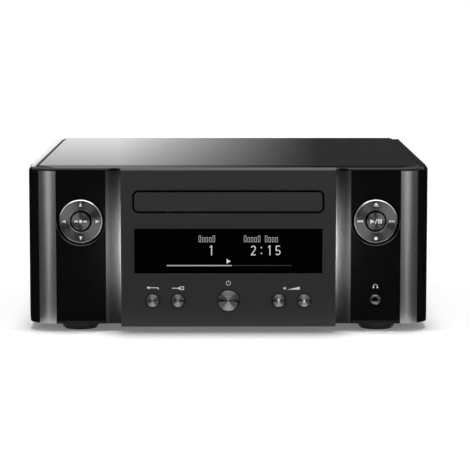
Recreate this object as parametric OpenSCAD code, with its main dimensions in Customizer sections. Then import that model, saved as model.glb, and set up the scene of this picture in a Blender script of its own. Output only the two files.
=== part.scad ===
// Compact CD receiver: a steel and plastic cabinet with a curved front bezel, a raised centre panel with
// a disc drawer and display, two rocking control rings, and the disc loader, boards and sockets inside.
// Millimetres. +Z is up, the front faces -Y, and the origin is under the middle of the whole object.

/* [Cabinet] */
// Depth from the gloss panels' face to the back of the rear panel
body_d = 278.5; // [265:0.5:330]
// Height of the cabinet above its underside, without the top plate
body_h = 109; // [106:0.5:130]
// Height of the feet below the cabinet
foot_h = 5.5; // [4.5:0.5:12]
// Thickness of the steel chassis, lid and rear panel
sheet_t = 1.2; // [0.8:0.1:1.6]
// Wall of the side panels
side_t = 2.5; // [2:0.1:3.5]
// Width of the lip along the top of each side panel
side_lip = 4.8; // [4:0.1:7]
// Radius of the side panels' top outer edge
side_round = 1.2; // [0.5:0.1:2]
// Thickness of the acrylic top plate
plate_t = 3.5; // [2.5:0.1:5]
// Height of the top plate above the bezel
plate_proud = 1; // [0.5:0.1:2]
// Width of the bevel along the top plate's sides
plate_bevel = 2.7; // [1:0.1:5]
// Diameter of the feet
foot_d = 26; // [20:0.5:34]
// Distance between the left and right feet
feet_apart_x = 209; // [180:1:215]
// Distance between the front and rear feet
feet_apart_y = 227; // [190:1:228]
// Distance of the front feet's centres behind the gloss panels' face
foot_inset = 20; // [18:0.5:36]

/* [Front] */
// Radius of the bezel's rounded front corners
cheek_r = 20; // [17:0.5:20]
// Skin of the bezel's corners, top and bottom
skin_t = 2.5; // [2:0.1:3]
// Wall of the bezel behind the gloss panels
bezel_wall = 4; // [3.5:0.1:5]
// Depth of the bezel from the gloss panels' face
bezel_d = 30.5; // [26:0.5:36]
// Depth of the bezel's top wall
bezel_top_d = 12.5; // [11:0.5:16]
// Radius of the bezel's top front edge
bezel_fillet = 2.2; // [1:0.1:2.4]
// Width of the centre panel on each side of the drawer's front
panel_side = 9.5; // [8:0.1:14]
// Thickness of the centre panel's face
panel_t = 3; // [2.5:0.1:4]
// How far the centre panel stands in front of the gloss panels
panel_proud = 8; // [6.5:0.5:11]
// How far the centre panel hangs below the cabinet
panel_drop = 0.9; // [0:0.1:2]
// How far the centre panel rises above the bezel
panel_rise = 0.8; // [0:0.1:1.5]
// Chamfer along the centre panel's top edge
panel_chamfer = 1.6; // [0.5:0.1:2.2]
// Chamfer along the centre panel's other edges
panel_edge = 0.5; // [0.3:0.1:0.8]
// Visible width of the hollow channel beside the centre panel
channel_w = 10.7; // [9:0.1:10.7]
// Radius of the hollow channel
channel_r = 14; // [12:0.5:18]
// Width of the gloss panels on each side of a control ring's hole
gloss_side = 0.85; // [0.6:0.05:12]
// Thickness of the gloss panels
gloss_t = 2; // [1.5:0.1:2.5]
// Distance of the gloss panels' top edge below the bezel's top
gloss_top_gap = 1.5; // [1:0.1:4]

/* [Drawer and display] */
// How far the drawer's front reaches past the disc tray's sides
lid_lap = 1.5; // [1:0.1:2.5]
// Height of the drawer's front
lid_h = 13.2; // [13:0.1:15]
// Thickness of the drawer's front
lid_t = 3.5; // [2.5:0.1:4.5]
// Corner radius of the drawer's front
lid_r = 3; // [1:0.1:4]
// Gap round the drawer's front
lid_gap = 1.2; // [0.8:0.1:1.5]
// Height of the drawer's middle above the cabinet's underside
tray_z = 86.4; // [84:0.1:88]
// Width of the disc tray on each side of the disc recess
tray_edge = 2.75; // [2.25:0.05:4]
// Radius of the recess for a disc
disc_recess_r = 60.75; // [56:0.05:66]
// Travel of the drawer
tray_travel = 133; // [120:1:136]
// Distance of the display window's ends from the centre panel's sides
window_side = 9.3; // [8.5:0.1:18]
// Height of the display window
window_h = 31.2; // [26:0.2:33]
// Height of the display's middle above the cabinet's underside
window_z = 52; // [50:0.1:53]
// Thickness of the display window's flange
window_flange_t = 1.5; // [1:0.1:2]

/* [Keys] */
// Diameter of the small round keys
key_d = 8.6; // [7:0.1:10]
// Diameter of the power key
power_d = 14.2; // [12:0.1:16]
// Gap between a key and its hole
key_gap = 0.4; // [0.3:0.05:0.6]
// How far the keys stand out of the centre panel
key_proud = 1; // [0.6:0.1:1.6]
// Travel of a key
key_travel = 0.5; // [0.3:0.05:0.6]
// Height of the keys above the cabinet's underside
key_z = 17.4; // [16:0.1:20]
// Distance of the inner keys from the middle
key_x_inner = 35; // [30:0.5:38]
// Distance of the outer keys from the middle
key_x_outer = 52.6; // [50:0.1:55]
// Outer radius of the control rings
ring_r = 15; // [14:0.1:15]
// Inner radius of the control rings
ring_hole_r = 7.3; // [7:0.1:7.6]
// Radius of the key inside a control ring
centre_key_r = 6.3; // [5:0.1:6.4]
// Radius of the round well that a control ring rocks in
well_r = 15.9; // [15.9:0.05:16.1]
// Height of the control rings' centres above the cabinet's underside
ring_z = 72; // [66:0.5:74]
// Height of the headphone socket above the cabinet's underside
phones_z = 17.1; // [15:0.1:22]
// Radius of the headphone socket's bore
phones_r = 1.8; // [1.75:0.05:2]

/* [Inside and rear] */
// Thickness of the circuit boards
board_t = 1.6; // [1:0.1:2]
// Height of the standoffs under the boards
standoff_h = 6; // [4:0.5:10]
// How far the speaker terminals reach behind the rear panel
terminal_reach = 15.5; // [13:0.5:20]
// Spacing of the speaker terminals
terminal_pitch = 18; // [16:0.5:20]
// Radius of the speaker terminals' caps
cap_r = 5.6; // [5:0.1:6.5]
// Module of the loader's gears
gear_m = 1; // [0.9:0.05:1.05]

/* [Hidden] */
$fn = 64;

// Clearances
cut = 1;
part_gap = 0.2;
slip_gap = 0.3;
pin_gap = 0.05;
trunnion_gap = 0.1;

// Depths: the keys' faces and the terminal caps' ends are the two ends of the whole object
overall_d = key_proud + panel_proud + body_d + terminal_reach;
y_key = -overall_d / 2;
y_panel = y_key + key_proud;
y_panel_back = y_panel + panel_t;
y_gloss = y_panel + panel_proud;
y_wall_back = y_gloss + bezel_wall;
y_lid_front = y_gloss + bezel_top_d;
y_bezel_back = y_gloss + bezel_d;
y_rear = y_gloss + body_d;
y_in = y_rear - sheet_t;
y_end = y_rear + terminal_reach;

// Heights
z_base = foot_h;
z_top = z_base + body_h;
z_plate = z_top + plate_proud;
z_lid = z_plate - plate_t;
z_ledge = z_lid - sheet_t;
z_floor = z_base + sheet_t;
z_board = z_floor + standoff_h;
z_on_board = z_board + board_t;
z_panel_low = z_base - panel_drop;
z_panel_high = z_top + panel_rise;
z_gloss_top = z_top - gloss_top_gap;
z_ring = z_base + ring_z;
z_keys = z_base + key_z;
z_window = z_base + window_z;
z_phones = z_base + phones_z;

// Plan of the front: the disc sets the widths of the tray, the drawer's front and the centre panel, and
// the cabinet is as wide as the panel with a channel, a gloss panel and a rounded corner on each side
tray_w = 2 * (disc_recess_r + tray_edge);
lid_w = tray_w + 2 * lid_lap;
panel_w = lid_w + 2 * panel_side;
window_w = panel_w - 2 * window_side;
gloss_hole_gap = 0.65;
gloss_hole_r = well_r + gloss_hole_gap;
gloss_w = 2 * (gloss_hole_r + gloss_side);
body_w = panel_w + 2 * (channel_w + gloss_w + cheek_r);
x_half = body_w / 2;
x_cheek = x_half - cheek_r;
x_inside = x_half - side_t;
x_channel_out = panel_w / 2 + channel_w;
channel_under = 1.3;
x_channel_mid = x_channel_out - (channel_w + channel_under) / 2;
channel_depth = channel_r - sqrt(pow(channel_r, 2) - pow((channel_w + channel_under) / 2, 2));
x_ring = (x_cheek + x_channel_out) / 2;
ledge_w = 6;
ledge_t = 2.5;
lid_side_gap = 0.4;
x_lid = x_half - side_lip - lid_side_gap;

// Rim behind the centre panel's face, and the opening behind it
rim_inset = 2.5;
rim_t = 2.5;
opening_inset = rim_inset + rim_t + 0.5;
y_rim = y_panel_back - panel_t / 2;

// Boards and switches behind the keys
front_board_y = y_panel + 17.5;
side_board_y = y_gloss + 16;
switch_h = 2.5;
switch_w = 6;
switch_button_r = 1.7;
switch_button_h = 0.5;
stem_gap = key_travel + 0.1;
side_board_w = 34;
side_board_top = z_ring + 26;
side_board_low = z_ring - 26;
phones_board_low = z_phones - 8;
board_post_r = 2.5;
board_post_dz = 22;
front_post_r = 3;
front_post_inset = 11.5;
front_post_x = panel_w / 2 - front_post_inset;
window_flange = 2;
front_board_low = z_keys - 10;
front_post_z = [z_keys - 6.5, z_window + window_h / 2 + window_flange + front_post_r + 0.5];
front_board_high = front_post_z[1] + 4;

// Control rings: pivots in the middle of a thin carrier, inside the well
ring_t = 3;
ring_proud = 1.5;
ring_edge = 0.5;
ring_hole_edge = 0.4;
pivot_y = y_gloss + 6;
pivot_r = 0.7;
carrier_t = 2.6;
carrier_r_out = well_r - 1;
carrier_r_in = carrier_r_out - 2;
skirt_r_out = carrier_r_in - 0.6;
skirt_r_in = skirt_r_out - 2.8;
skirt_back = pivot_y + 2.5;
well_floor = y_gloss + 11.5;
well_floor_t = 2;
well_wall = 2.5;
plunger_r = 1.2;
plunger_orbit = (skirt_r_out + skirt_r_in) / 2;
plunger_hole_r = 2.2;
plunger_gap = 0.6;
centre_stem_r = 2.5;
gloss_hole_chamfer = 0.5;

// Headphone socket
phones_ferrule_r = 3.7;
phones_depth = 14;
phones_proud = 0.8;

// Drawer
z_tray = z_base + tray_z;
z_bed_low = z_tray - 3.6;
z_bed = z_tray - 1.6;
z_rim = z_tray + 5.4;
z_rail = z_tray - 6.1;
small_disc_r = 40.5;
small_disc_drop = 0.9;
y_tray_front = y_panel + lid_t;
disc_margin = 6;
y_disc = y_tray_front + disc_margin + disc_recess_r;
y_tray_back = y_disc + disc_recess_r + 5.3;
rail_extra = 54;
y_rail_back = y_tray_back + rail_extra;
slot_half = 19;

// Loader gears: a motor pinion drives the wheel of the tray gear, whose own pinion drives the rack
pressure = 20;
addendum = 0.8 * gear_m;
dedendum = 1.05 * gear_m;
backlash = 0.125 * gear_m;
pinion_n = 14;
wheel_n = 30;
rack_pinion_n = 16;
rack_inset = 10.5;
x_rack = rack_inset - tray_w / 2;
x_rack_back = x_rack - 4;
x_gear = x_rack + rack_pinion_n * gear_m / 2;
y_gear = y_tray_front + 35;
x_motor = x_gear + (wheel_n + pinion_n) * gear_m / 2;
rack_pitch = PI * gear_m;
rack_teeth_before = 3;
rack_teeth_after = ceil(tray_travel / rack_pitch) + 4;
wheel_t = 3;
z_wheel = z_rail - 5.4;
gear_pin_r = 1.5;
motor_shaft_r = 1;

// Loader frame and traverse
frame_w = tray_w + 6;
frame_wall = 2.5;
frame_base_t = 2.5;
z_frame = z_tray - 18.9;
z_frame_top = z_rim + 2.2;
y_frame_front = y_tray_front + 20;
y_frame_back = y_rail_back + 10;
guide_t = 1.6;
post_r = 4;
post_x = frame_w / 2 - 4.5;
post_ys = [y_frame_front + 9, y_frame_back - 6];
post_clear_r = post_r + 2;
y_traverse_front = y_disc - 18;
y_pivot = y_disc + 100;
y_traverse_back = y_pivot + 4;
traverse_half = 46;
traverse_t = 2.5;
z_traverse = z_frame + 4;
z_traverse_top = z_traverse + traverse_t;
trunnion_r = 2;
trunnion_l = 5;
ear_gap = 1.5;
rod_r = 1.5;
rod_x_at = 24;
z_rod = z_traverse_top + 2.5;
rod_ends = [y_disc + 8, y_disc + 94];
rod_block = 3;
shaft_r = 1;
motor_r = 12.5;
motor_h = 9;
table_r = 15;
z_table = z_bed + 1.1;
hub_r = 7.4;
hub_h = 2.6;
lens_inner_r = 24;
y_lens = y_disc + lens_inner_r;
pickup_half_l = 13;
pickup_travel = 36;
lug_x = rod_x_at + 3;
sled_rack_t = 1.4;
x_sled_rack = lug_x + 0.4 + sled_rack_t + dedendum;
sled_n = 14;
x_sled = x_sled_rack + sled_n * gear_m / 2;
y_sled = y_lens + 30;
z_sled = z_traverse_top + 0.8;
sled_gear_t = 3;
sled_motor_r = 8;
sled_motor_h = 10;
bridge_t = 1.2;
bridge_half_l = 22;
puck_boss_r = 14.8;
puck_hole_r = puck_boss_r + 0.5;
puck_flange_r = 17;
puck_flange_t = 2;
puck_air = 2.5;

// Boards on the chassis floor
board_side_gap = 6;
power_board_x = [-x_half + board_side_gap + side_t, -50];
main_board_x = [-44, x_half - board_side_gap - side_t];
board_len = 228;
board_back_gap = 4;
board_y = [y_in - board_back_gap - board_len, y_in - board_back_gap];
standoff_r = 3.5;
standoff_edge = 7;
flange_h = 9.5;

// Sockets on the rear panel
z_jack = z_on_board + 14;
z_terminal = z_floor + 24;
terminal_x0 = -72;
terminal_xs = [for (i = [0:3]) terminal_x0 + i * terminal_pitch];
terminal_mid = (terminal_xs[0] + terminal_xs[3]) / 2;
terminal_block_w = terminal_pitch * 3 + 18;
terminal_block_h = 24;
terminal_plate_t = 3;
post_stud_r = 2;
collar_r = 4.5;
collar_t = 1;
cap_end_t = 2.5;
rca_xs = [22, 40, 58];
rca_r = 4.1;
rca_flange_r = 5.5;
rca_neck_r = 4.8;
rca_len = 9;
rca_bore_r = 1.65;
rca_bore_l = 14;
optical_x = 79;
network_x = 101;
inlet_inset = 27;
inlet_x = inlet_inset - x_half;
z_inlet = z_floor + 22;
inlet_pin_x = 4.3;
wifi_inset = 19;
wifi_x = x_half - wifi_inset;
z_wifi = z_base + 88;
wifi_r = 3.1;
fm_x = 92;
z_fm = z_base + 56;
fm_r = 4.7;
aerial_len = 10;
rear_screw_r = 2.9;
rear_screw_l = 3;

// Screws of the rear panel, and what they go into
x_screw = x_inside - 7;
z_screw_low = z_floor + 7;
z_screw_high = z_ledge - 9;
boss_w = 9;
boss_l = 8;
tab_w = 9;
lid_flange_x = 75;
lid_flange_h = 9;
lid_screw_x = 62;

// Feet and their screws
foot_points = [for (sx = [-1, 1], k = [0, 1])
    [sx * feet_apart_x / 2, y_gloss + foot_inset + k * feet_apart_y]];
pad_t = 1.5;
pad_seat = 0.5;
pad_rim = 1.8;
pad_r_out = foot_d / 2 - pad_rim;
pad_r_in = 4.5;
screw_r = 1.5;
screw_head_r = 2.8;
screw_head_h = 1.8;

// Basic shapes: each range is a pair of limits along its axis
module bar(x, y, z) {
    translate([x[0], y[0], z[0]]) cube([x[1] - x[0], y[1] - y[0], z[1] - z[0]]);
}

module rod_x(y, z, r, x) {
    translate([x[0], y, z]) rotate([0, 90, 0]) cylinder(r = r, h = x[1] - x[0]);
}

module rod_y(x, z, r, y) {
    translate([x, y[0], z]) rotate([-90, 0, 0]) cylinder(r = r, h = y[1] - y[0]);
}

module rod_z(x, y, r, z) {
    translate([x, y, z[0]]) cylinder(r = r, h = z[1] - z[0]);
}

module cone_y(x, z, r_front, r_back, y) {
    translate([x, y[0], z]) rotate([-90, 0, 0]) cylinder(r1 = r_front, r2 = r_back, h = y[1] - y[0]);
}

module round_rect(w, h, r) {
    square([w, h - 2 * r], center = true);
    square([w - 2 * r, h], center = true);
    for (sx = [-1, 1], sy = [-1, 1])
        translate([sx * (w / 2 - r), sy * (h / 2 - r)]) circle(r = r);
}

module slab_y(x, z, w, h, r, y) {
    translate([x, y[1], z]) rotate([90, 0, 0]) linear_extrude(y[1] - y[0]) round_rect(w, h, r);
}

// Spur gear outline with one tooth centred on the angle phase
function polar_point(r, a) = [r * cos(a), r * sin(a)];
function involute_turn(rb, r) =
    let (roll = sqrt(max(0, pow(r / rb, 2) - 1))) roll * 180 / PI - atan(roll);
function flank_radii(n, steps) =
    let (rp = n * gear_m / 2, rb = rp * cos(pressure), low = max(rb, rp - dedendum), top = rp + addendum)
    concat([rp - dedendum], [for (i = [0:steps]) low + (top - low) * i / steps]);
function flank_angle(n, r) =
    let (rp = n * gear_m / 2, rb = rp * cos(pressure))
    (PI * gear_m / 2 - backlash) / (2 * rp) * 180 / PI + involute_turn(rb, rp) - involute_turn(rb, max(r, rb));

module gear_outline(n, phase) {
    radii = flank_radii(n, 4);
    last = len(radii) - 1;
    polygon([for (i = [0:n - 1]) let (a = phase + i * 360 / n) each concat(
        [for (k = [0:last]) polar_point(radii[k], a - flank_angle(n, radii[k]))],
        [for (k = [0:last]) polar_point(radii[last - k], a + flank_angle(n, radii[last - k]))])]);
}

// Rack outline whose teeth point to +X, with a gap centred on y = 0 and its back edge at x = back
module rack_outline(before, after, back) {
    half = (rack_pitch / 2 - backlash) / 2;
    tip = half - addendum * tan(pressure);
    root = half + dedendum * tan(pressure);
    first = -before * rack_pitch;
    last = after * rack_pitch;
    polygon(concat([[back, first]], [for (j = [-before:after - 1]) let (c = (j + 0.5) * rack_pitch) each
        [[-dedendum, c - root], [addendum, c - tip], [addendum, c + tip], [-dedendum, c + root]]],
        [[back, last]]));
}

// Bottom of the cabinet: a folded steel pan with flanges, standoffs and vents
module chassis_vents() {
    vent_n = 8;
    vent_pitch = 9;
    vent_size = [44, 3];
    vent_x = 52;
    y_first = post_ys[1] - 84;
    for (row = [-1, 1], i = [0:vent_n - 1])
        bar([row * vent_x - vent_size[0] / 2, row * vent_x + vent_size[0] / 2],
            [y_first + i * vent_pitch, y_first + i * vent_pitch + vent_size[1]], [z_base - cut, z_floor + cut]);
}

function standoff_points() = concat(
    [for (x = [power_board_x[0] + standoff_edge, power_board_x[1] - standoff_edge],
        y = [board_y[0] + standoff_edge, board_y[1] - standoff_edge - 24]) [x, y]],
    [for (x = [main_board_x[0] + standoff_edge, main_board_x[1] - standoff_edge],
        y = [board_y[0] + standoff_edge, board_y[1] - standoff_edge - 24]) [x, y]]);

module bottom_chassis() {
    x_out = x_inside - part_gap;
    y_span = [y_lid_front + part_gap, y_in - part_gap];
    color("dimgray") difference() {
        union() {
            bar([-x_out, x_out], y_span, [z_base, z_floor]);
            for (s = [-1, 1])
                bar([s > 0 ? x_out - sheet_t : -x_out, s > 0 ? x_out : sheet_t - x_out],
                    [y_bezel_back + part_gap, y_span[1]], [z_base, z_floor + flange_h]);
            bar([-x_cheek, x_cheek], [y_span[0], y_span[0] + sheet_t], [z_base, z_floor + flange_h / 2]);
            // Tabs for the lower rear screws
            for (s = [-1, 1])
                bar([s > 0 ? x_screw - tab_w / 2 : -x_out, s > 0 ? x_out : tab_w / 2 - x_screw],
                    [y_span[1] - sheet_t, y_span[1]], [z_base, z_floor + flange_h]);
            for (p = standoff_points())
                rod_z(p[0], p[1], standoff_r, [z_floor - sheet_t / 2, z_board]);
        }
        for (s = [-1, 1])
            rod_y(s * x_screw, z_screw_low, screw_r + pin_gap, [y_span[1] - sheet_t - cut, y_span[1] + cut]);
        chassis_vents();
        for (p = foot_points)
            rod_z(p[0], p[1], screw_r + pin_gap, [z_base - cut, z_floor + cut]);
    }
}

// Rear of the cabinet: a flat steel panel with cut-outs for the sockets and a row of vents
module rear_vents() {
    vent_n = 15;
    vent_pitch = 7;
    vent_size = [3, 20];
    z_row = z_terminal + terminal_block_h / 2 + vent_size[1];
    for (row = [0, 1], i = [0:vent_n - 1])
        slab_y((i - (vent_n - 1) / 2) * vent_pitch, z_row + row * (vent_size[1] + 3), vent_size[0], vent_size[1],
            vent_size[0] / 2 - 0.1, [y_in - cut, y_rear + cut]);
}

module rear_panel() {
    color("black") difference() {
        bar([part_gap - x_inside, x_inside - part_gap], [y_in, y_rear], [z_base, z_ledge]);
        rear_vents();
        for (x = rca_xs)
            rod_y(x, z_jack, rca_neck_r + part_gap, [y_in - cut, y_rear + cut]);
        network_shape(part_gap, [y_in - cut, y_rear + cut]);
        optical_shape(part_gap, [y_in - cut, y_rear + cut]);
        inlet_shape(part_gap, [y_in - cut, y_rear + cut]);
        bar([terminal_mid - terminal_block_w / 2 + 2 - part_gap, terminal_mid + terminal_block_w / 2 - 2 + part_gap],
            [y_in - cut, y_rear + cut],
            [z_terminal - terminal_block_h / 2 + 2 - part_gap, z_terminal + terminal_block_h / 2 - 2 + part_gap]);
        for (s = [-1, 1])
            rod_y(s * wifi_x, z_wifi, wifi_r + part_gap, [y_in - cut, y_rear + cut]);
        rod_y(fm_x, z_fm, fm_r + part_gap, [y_in - cut, y_rear + cut]);
        for (p = rear_screw_points())
            rod_y(p[0], p[1], screw_r + pin_gap, [y_in - cut, y_rear + cut]);
    }
}

// Side panels: tall moulded walls with a rounded top edge, a top lip and a ledge for the lid
module side_profile() {
    h = z_top - z_base;
    square([side_t, h - side_round]);
    translate([side_round, h - ledge_t]) square([side_lip - side_round, ledge_t]);
    translate([side_round, h - side_round]) circle(r = side_round);
}

module side_panel(s) {
    y_span = [y_bezel_back + part_gap, y_rear];
    color([0.07, 0.07, 0.08]) mirror([s > 0 ? 1 : 0, 0, 0]) difference() {
        union() {
            translate([-x_half, y_span[1], z_base]) rotate([90, 0, 0])
                linear_extrude(y_span[1] - y_span[0]) side_profile();
            bar([-x_inside - side_t / 2, ledge_w - x_inside], [y_span[0], y_in - part_gap], [z_ledge - ledge_t, z_ledge]);
            // Boss for the upper rear screw
            bar([-x_inside - side_t / 2, boss_w - x_inside], [y_in - boss_l, y_in],
                [z_screw_high - boss_w / 2, z_screw_high + boss_w / 2]);
        }
        rod_y(-x_screw, z_screw_high, screw_r + pin_gap, [y_in - boss_l - cut, y_in + cut]);
    }
}

module left_side_panel() { side_panel(-1); }
module right_side_panel() { side_panel(1); }

// Lid: a steel sheet under the acrylic top plate, with a flange inside the rear panel
module top_cover() {
    color("gray") difference() {
        union() {
            bar([-x_lid, x_lid], [y_lid_front + slip_gap, y_rear], [z_ledge, z_lid]);
            bar([-lid_flange_x, lid_flange_x], [y_in - sheet_t, y_in], [z_ledge - lid_flange_h, z_ledge]);
        }
        for (s = [-1, 1])
            rod_y(s * lid_screw_x, z_ledge - lid_flange_h / 2, screw_r + pin_gap, [y_in - sheet_t - cut, y_in + cut]);
    }
}

// Acrylic top plate with bevelled sides
module top_plate() {
    y_span = [y_lid_front + slip_gap, y_rear];
    side_z = plate_t - plate_proud;
    color([0.03, 0.03, 0.035]) translate([0, y_span[1], z_lid]) rotate([90, 0, 0])
        linear_extrude(y_span[1] - y_span[0])
            polygon([[-x_lid, 0], [x_lid, 0], [x_lid, side_z], [x_lid - plate_bevel, plate_t],
                [plate_bevel - x_lid, plate_t], [-x_lid, side_z]]);
}

// Front bezel: rounded outer block, hollowed from behind
module rounded_edge_profile(depth, height, r) {
    square([depth, height - r]);
    translate([r, 0]) square([depth - r, height]);
    translate([r, height - r]) circle(r = r);
}

module bezel_block() {
    h = z_top - z_base;
    translate([-x_cheek, y_gloss, z_base]) rotate([90, 0, 90])
        linear_extrude(2 * x_cheek) rounded_edge_profile(bezel_d, h, bezel_fillet);
    for (s = [-1, 1]) {
        translate([s * x_cheek, y_gloss + cheek_r, z_base]) rotate_extrude() intersection() {
            translate([cheek_r, 0]) mirror([1, 0]) rounded_edge_profile(2 * cheek_r, h, bezel_fillet);
            square([cheek_r, h]);
        }
        translate([s * x_half, y_bezel_back, z_base]) mirror([s > 0 ? 1 : 0, 0, 0]) rotate([90, 0, 0])
            linear_extrude(bezel_d - cheek_r) rounded_edge_profile(cheek_r, h, bezel_fillet);
    }
}

// Rise of the bezel's top wall up to the top plate, narrowing towards the front corners
module bezel_crown() {
    y_low = y_gloss + bezel_fillet;
    z_root = z_top - skin_t / 2;
    plan = [[-x_lid, y_lid_front], [x_lid, y_lid_front], [x_cheek, y_low], [-x_cheek, y_low]];
    ridge = [[plate_bevel - x_lid, y_lid_front, z_plate], [x_lid - plate_bevel, y_lid_front, z_plate]];
    polyhedron(
        concat([for (p = plan) [p[0], p[1], z_root]], [for (p = plan) [p[0], p[1], z_top]], ridge),
        [[3, 2, 1, 0], [0, 1, 5, 9, 8, 4], [7, 6, 2, 3], [1, 2, 6, 5], [3, 0, 4, 7], [8, 9, 6, 7], [6, 9, 5], [4, 8, 7]]);
}

module bezel_hollow() {
    z_span = [z_base + skin_t, z_top - skin_t];
    bar([-x_cheek, x_cheek], [y_wall_back, y_bezel_back + cut], z_span);
    for (s = [-1, 1])
        rod_z(s * x_cheek, y_gloss + cheek_r, cheek_r - skin_t, z_span);
    bar([skin_t - x_half, x_half - skin_t], [y_gloss + cheek_r, y_bezel_back + cut], z_span);
    // Room for the lid and top plate behind the top wall, and for the chassis behind the bottom wall
    bar([side_lip - x_half, x_half - side_lip], [y_lid_front, y_bezel_back + cut], [z_top - 2 * skin_t, z_top + cut]);
    bar([skin_t - x_half, x_half - skin_t], [y_lid_front, y_bezel_back + cut], [z_base - cut, z_base + 2 * skin_t]);
    bar([-x_half - cut, x_half + cut], [y_bezel_back, y_gloss + 2 * cheek_r + cut], [z_base - cut, z_top + cut]);
}

module bezel_inner_parts() {
    // Ledge for the front edge of the lid
    bar([-x_cheek, x_cheek], [y_wall_back - cut, y_lid_front + ledge_w], [z_ledge - ledge_t, z_ledge]);
    for (s = [-1, 1]) {
        rod_y(s * x_ring, z_ring, well_r + well_wall, [y_wall_back - cut, well_floor + well_floor_t]);
        for (k = [-1, 1])
            rod_y(s * x_ring, z_ring + k * board_post_dz, board_post_r, [y_wall_back - cut, side_board_y]);
    }
}

module bezel_cuts() {
    open_x = panel_w / 2 - opening_inset;
    bar([-open_x, open_x], [y_gloss - cut, y_wall_back + cut],
        [z_panel_low + opening_inset, z_panel_high - opening_inset]);
    for (s = [-1, 1]) {
        rod_z(s * x_channel_mid, y_gloss - channel_r + channel_depth, channel_r, [z_base - cut, z_top + cut]);
        bar([min(s * x_channel_out, s * x_cheek), max(s * x_channel_out, s * x_cheek)],
            [y_gloss - cut, y_gloss + gloss_t], [z_base - cut, z_gloss_top]);
        rod_y(s * x_ring, z_ring, well_r, [y_gloss, well_floor]);
        rod_y(s * x_ring, z_ring, centre_stem_r + 3 * pin_gap, [well_floor - cut, well_floor + well_floor_t + cut]);
        for (a = [0:90:270])
            rod_y(s * x_ring + plunger_orbit * cos(a), z_ring + plunger_orbit * sin(a), plunger_hole_r,
                [well_floor - cut, well_floor + well_floor_t + cut]);
        rod_z(s * x_ring, pivot_y, pivot_r + pin_gap, [z_ring - well_r - well_wall - cut, z_ring + well_r + well_wall + cut]);
    }
    rod_y(x_ring, z_phones, phones_ferrule_r + part_gap, [y_gloss - cut, y_wall_back + cut]);
}

module front_bezel() {
    color([0.16, 0.16, 0.17]) difference() {
        union() {
            difference() {
                union() {
                    bezel_block();
                    bezel_crown();
                }
                bezel_hollow();
            }
            bezel_inner_parts();
        }
        bezel_cuts();
    }
}

// Gloss panels set into the bezel, each with a round hole for its control ring
module gloss_panel(s) {
    edge = pin_gap * 2;
    x_span = [x_channel_out + edge, x_cheek - edge];
    color([0.02, 0.02, 0.02]) difference() {
        bar(s > 0 ? x_span : [-x_span[1], -x_span[0]], [y_gloss, y_gloss + gloss_t], [z_base, z_gloss_top - edge]);
        rod_y(s * x_ring, z_ring, gloss_hole_r, [y_gloss - cut, y_gloss + gloss_t + cut]);
        cone_y(s * x_ring, z_ring, gloss_hole_r + gloss_hole_chamfer, gloss_hole_r,
            [y_gloss, y_gloss + gloss_hole_chamfer]);
        if (s > 0)
            rod_y(x_ring, z_phones, phones_ferrule_r + part_gap, [y_gloss - cut, y_gloss + gloss_t + cut]);
    }
}

module left_gloss_panel() { gloss_panel(-1); }
module right_gloss_panel() { gloss_panel(1); }

// Centre panel: a chamfered face on a rim, with openings and board posts
key_places = [[-key_x_outer, key_d], [-key_x_inner, key_d], [0, power_d], [key_x_inner, key_d], [key_x_outer, key_d]];

module panel_face() {
    intersection() {
        translate([-panel_w / 2, 0, 0]) rotate([90, 0, 90]) linear_extrude(panel_w)
            polygon([[y_panel, z_panel_low + panel_edge], [y_panel + panel_edge, z_panel_low],
                [y_panel_back, z_panel_low], [y_panel_back, z_panel_high],
                [y_panel + panel_chamfer, z_panel_high], [y_panel, z_panel_high - panel_chamfer]]);
        translate([0, 0, z_panel_low]) linear_extrude(z_panel_high - z_panel_low)
            polygon([[panel_edge - panel_w / 2, y_panel], [panel_w / 2 - panel_edge, y_panel],
                [panel_w / 2, y_panel + panel_edge], [panel_w / 2, y_panel_back],
                [-panel_w / 2, y_panel_back], [-panel_w / 2, y_panel + panel_edge]]);
    }
}

module panel_rim() {
    x_out = panel_w / 2 - rim_inset;
    difference() {
        bar([-x_out, x_out], [y_rim, y_gloss], [z_panel_low + rim_inset, z_panel_high - rim_inset]);
        bar([rim_t - x_out, x_out - rim_t], [y_rim - cut, y_gloss + cut],
            [z_panel_low + rim_inset + rim_t, z_panel_high - rim_inset - rim_t]);
    }
}

module centre_panel() {
    y_through = [y_panel - cut, y_panel_back + cut];
    color([0.18, 0.18, 0.19]) difference() {
        union() {
            panel_face();
            panel_rim();
            for (s = [-1, 1], z = front_post_z)
                rod_y(s * front_post_x, z, front_post_r, [y_rim, front_board_y]);
        }
        slab_y(0, z_tray, lid_w + 2 * lid_gap, lid_h + 2 * lid_gap, lid_r + lid_gap, y_through);
        bar([-window_w / 2, window_w / 2], y_through, [z_window - window_h / 2, z_window + window_h / 2]);
        for (k = key_places)
            rod_y(k[0], z_keys, k[1] / 2 + key_gap, y_through);
    }
}

// Light guides behind the centre panel's side edges
module light_guides() {
    guide_w = rim_inset - 2 * slip_gap;
    color([0.9, 0.9, 0.95]) for (s = [-1, 1])
        bar([s * panel_w / 2 - s * (slip_gap + (s > 0 ? guide_w : 0)), s * panel_w / 2 - s * (slip_gap + (s > 0 ? 0 : guide_w))],
            [y_panel_back, y_gloss - 2 * slip_gap], [z_panel_low + 6, z_panel_high - 6]);
}

// Smoked display window with a flange behind the centre panel
module display_window() {
    flange = window_flange;
    fit = pin_gap * 2;
    color([0.01, 0.01, 0.012]) union() {
        bar([fit - window_w / 2, window_w / 2 - fit], [y_panel + slip_gap, y_panel_back + window_flange_t],
            [z_window - window_h / 2 + fit, z_window + window_h / 2 - fit]);
        bar([-window_w / 2 - flange, window_w / 2 + flange], [y_panel_back, y_panel_back + window_flange_t],
            [z_window - window_h / 2 - flange, z_window + window_h / 2 + flange]);
    }
}

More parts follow.
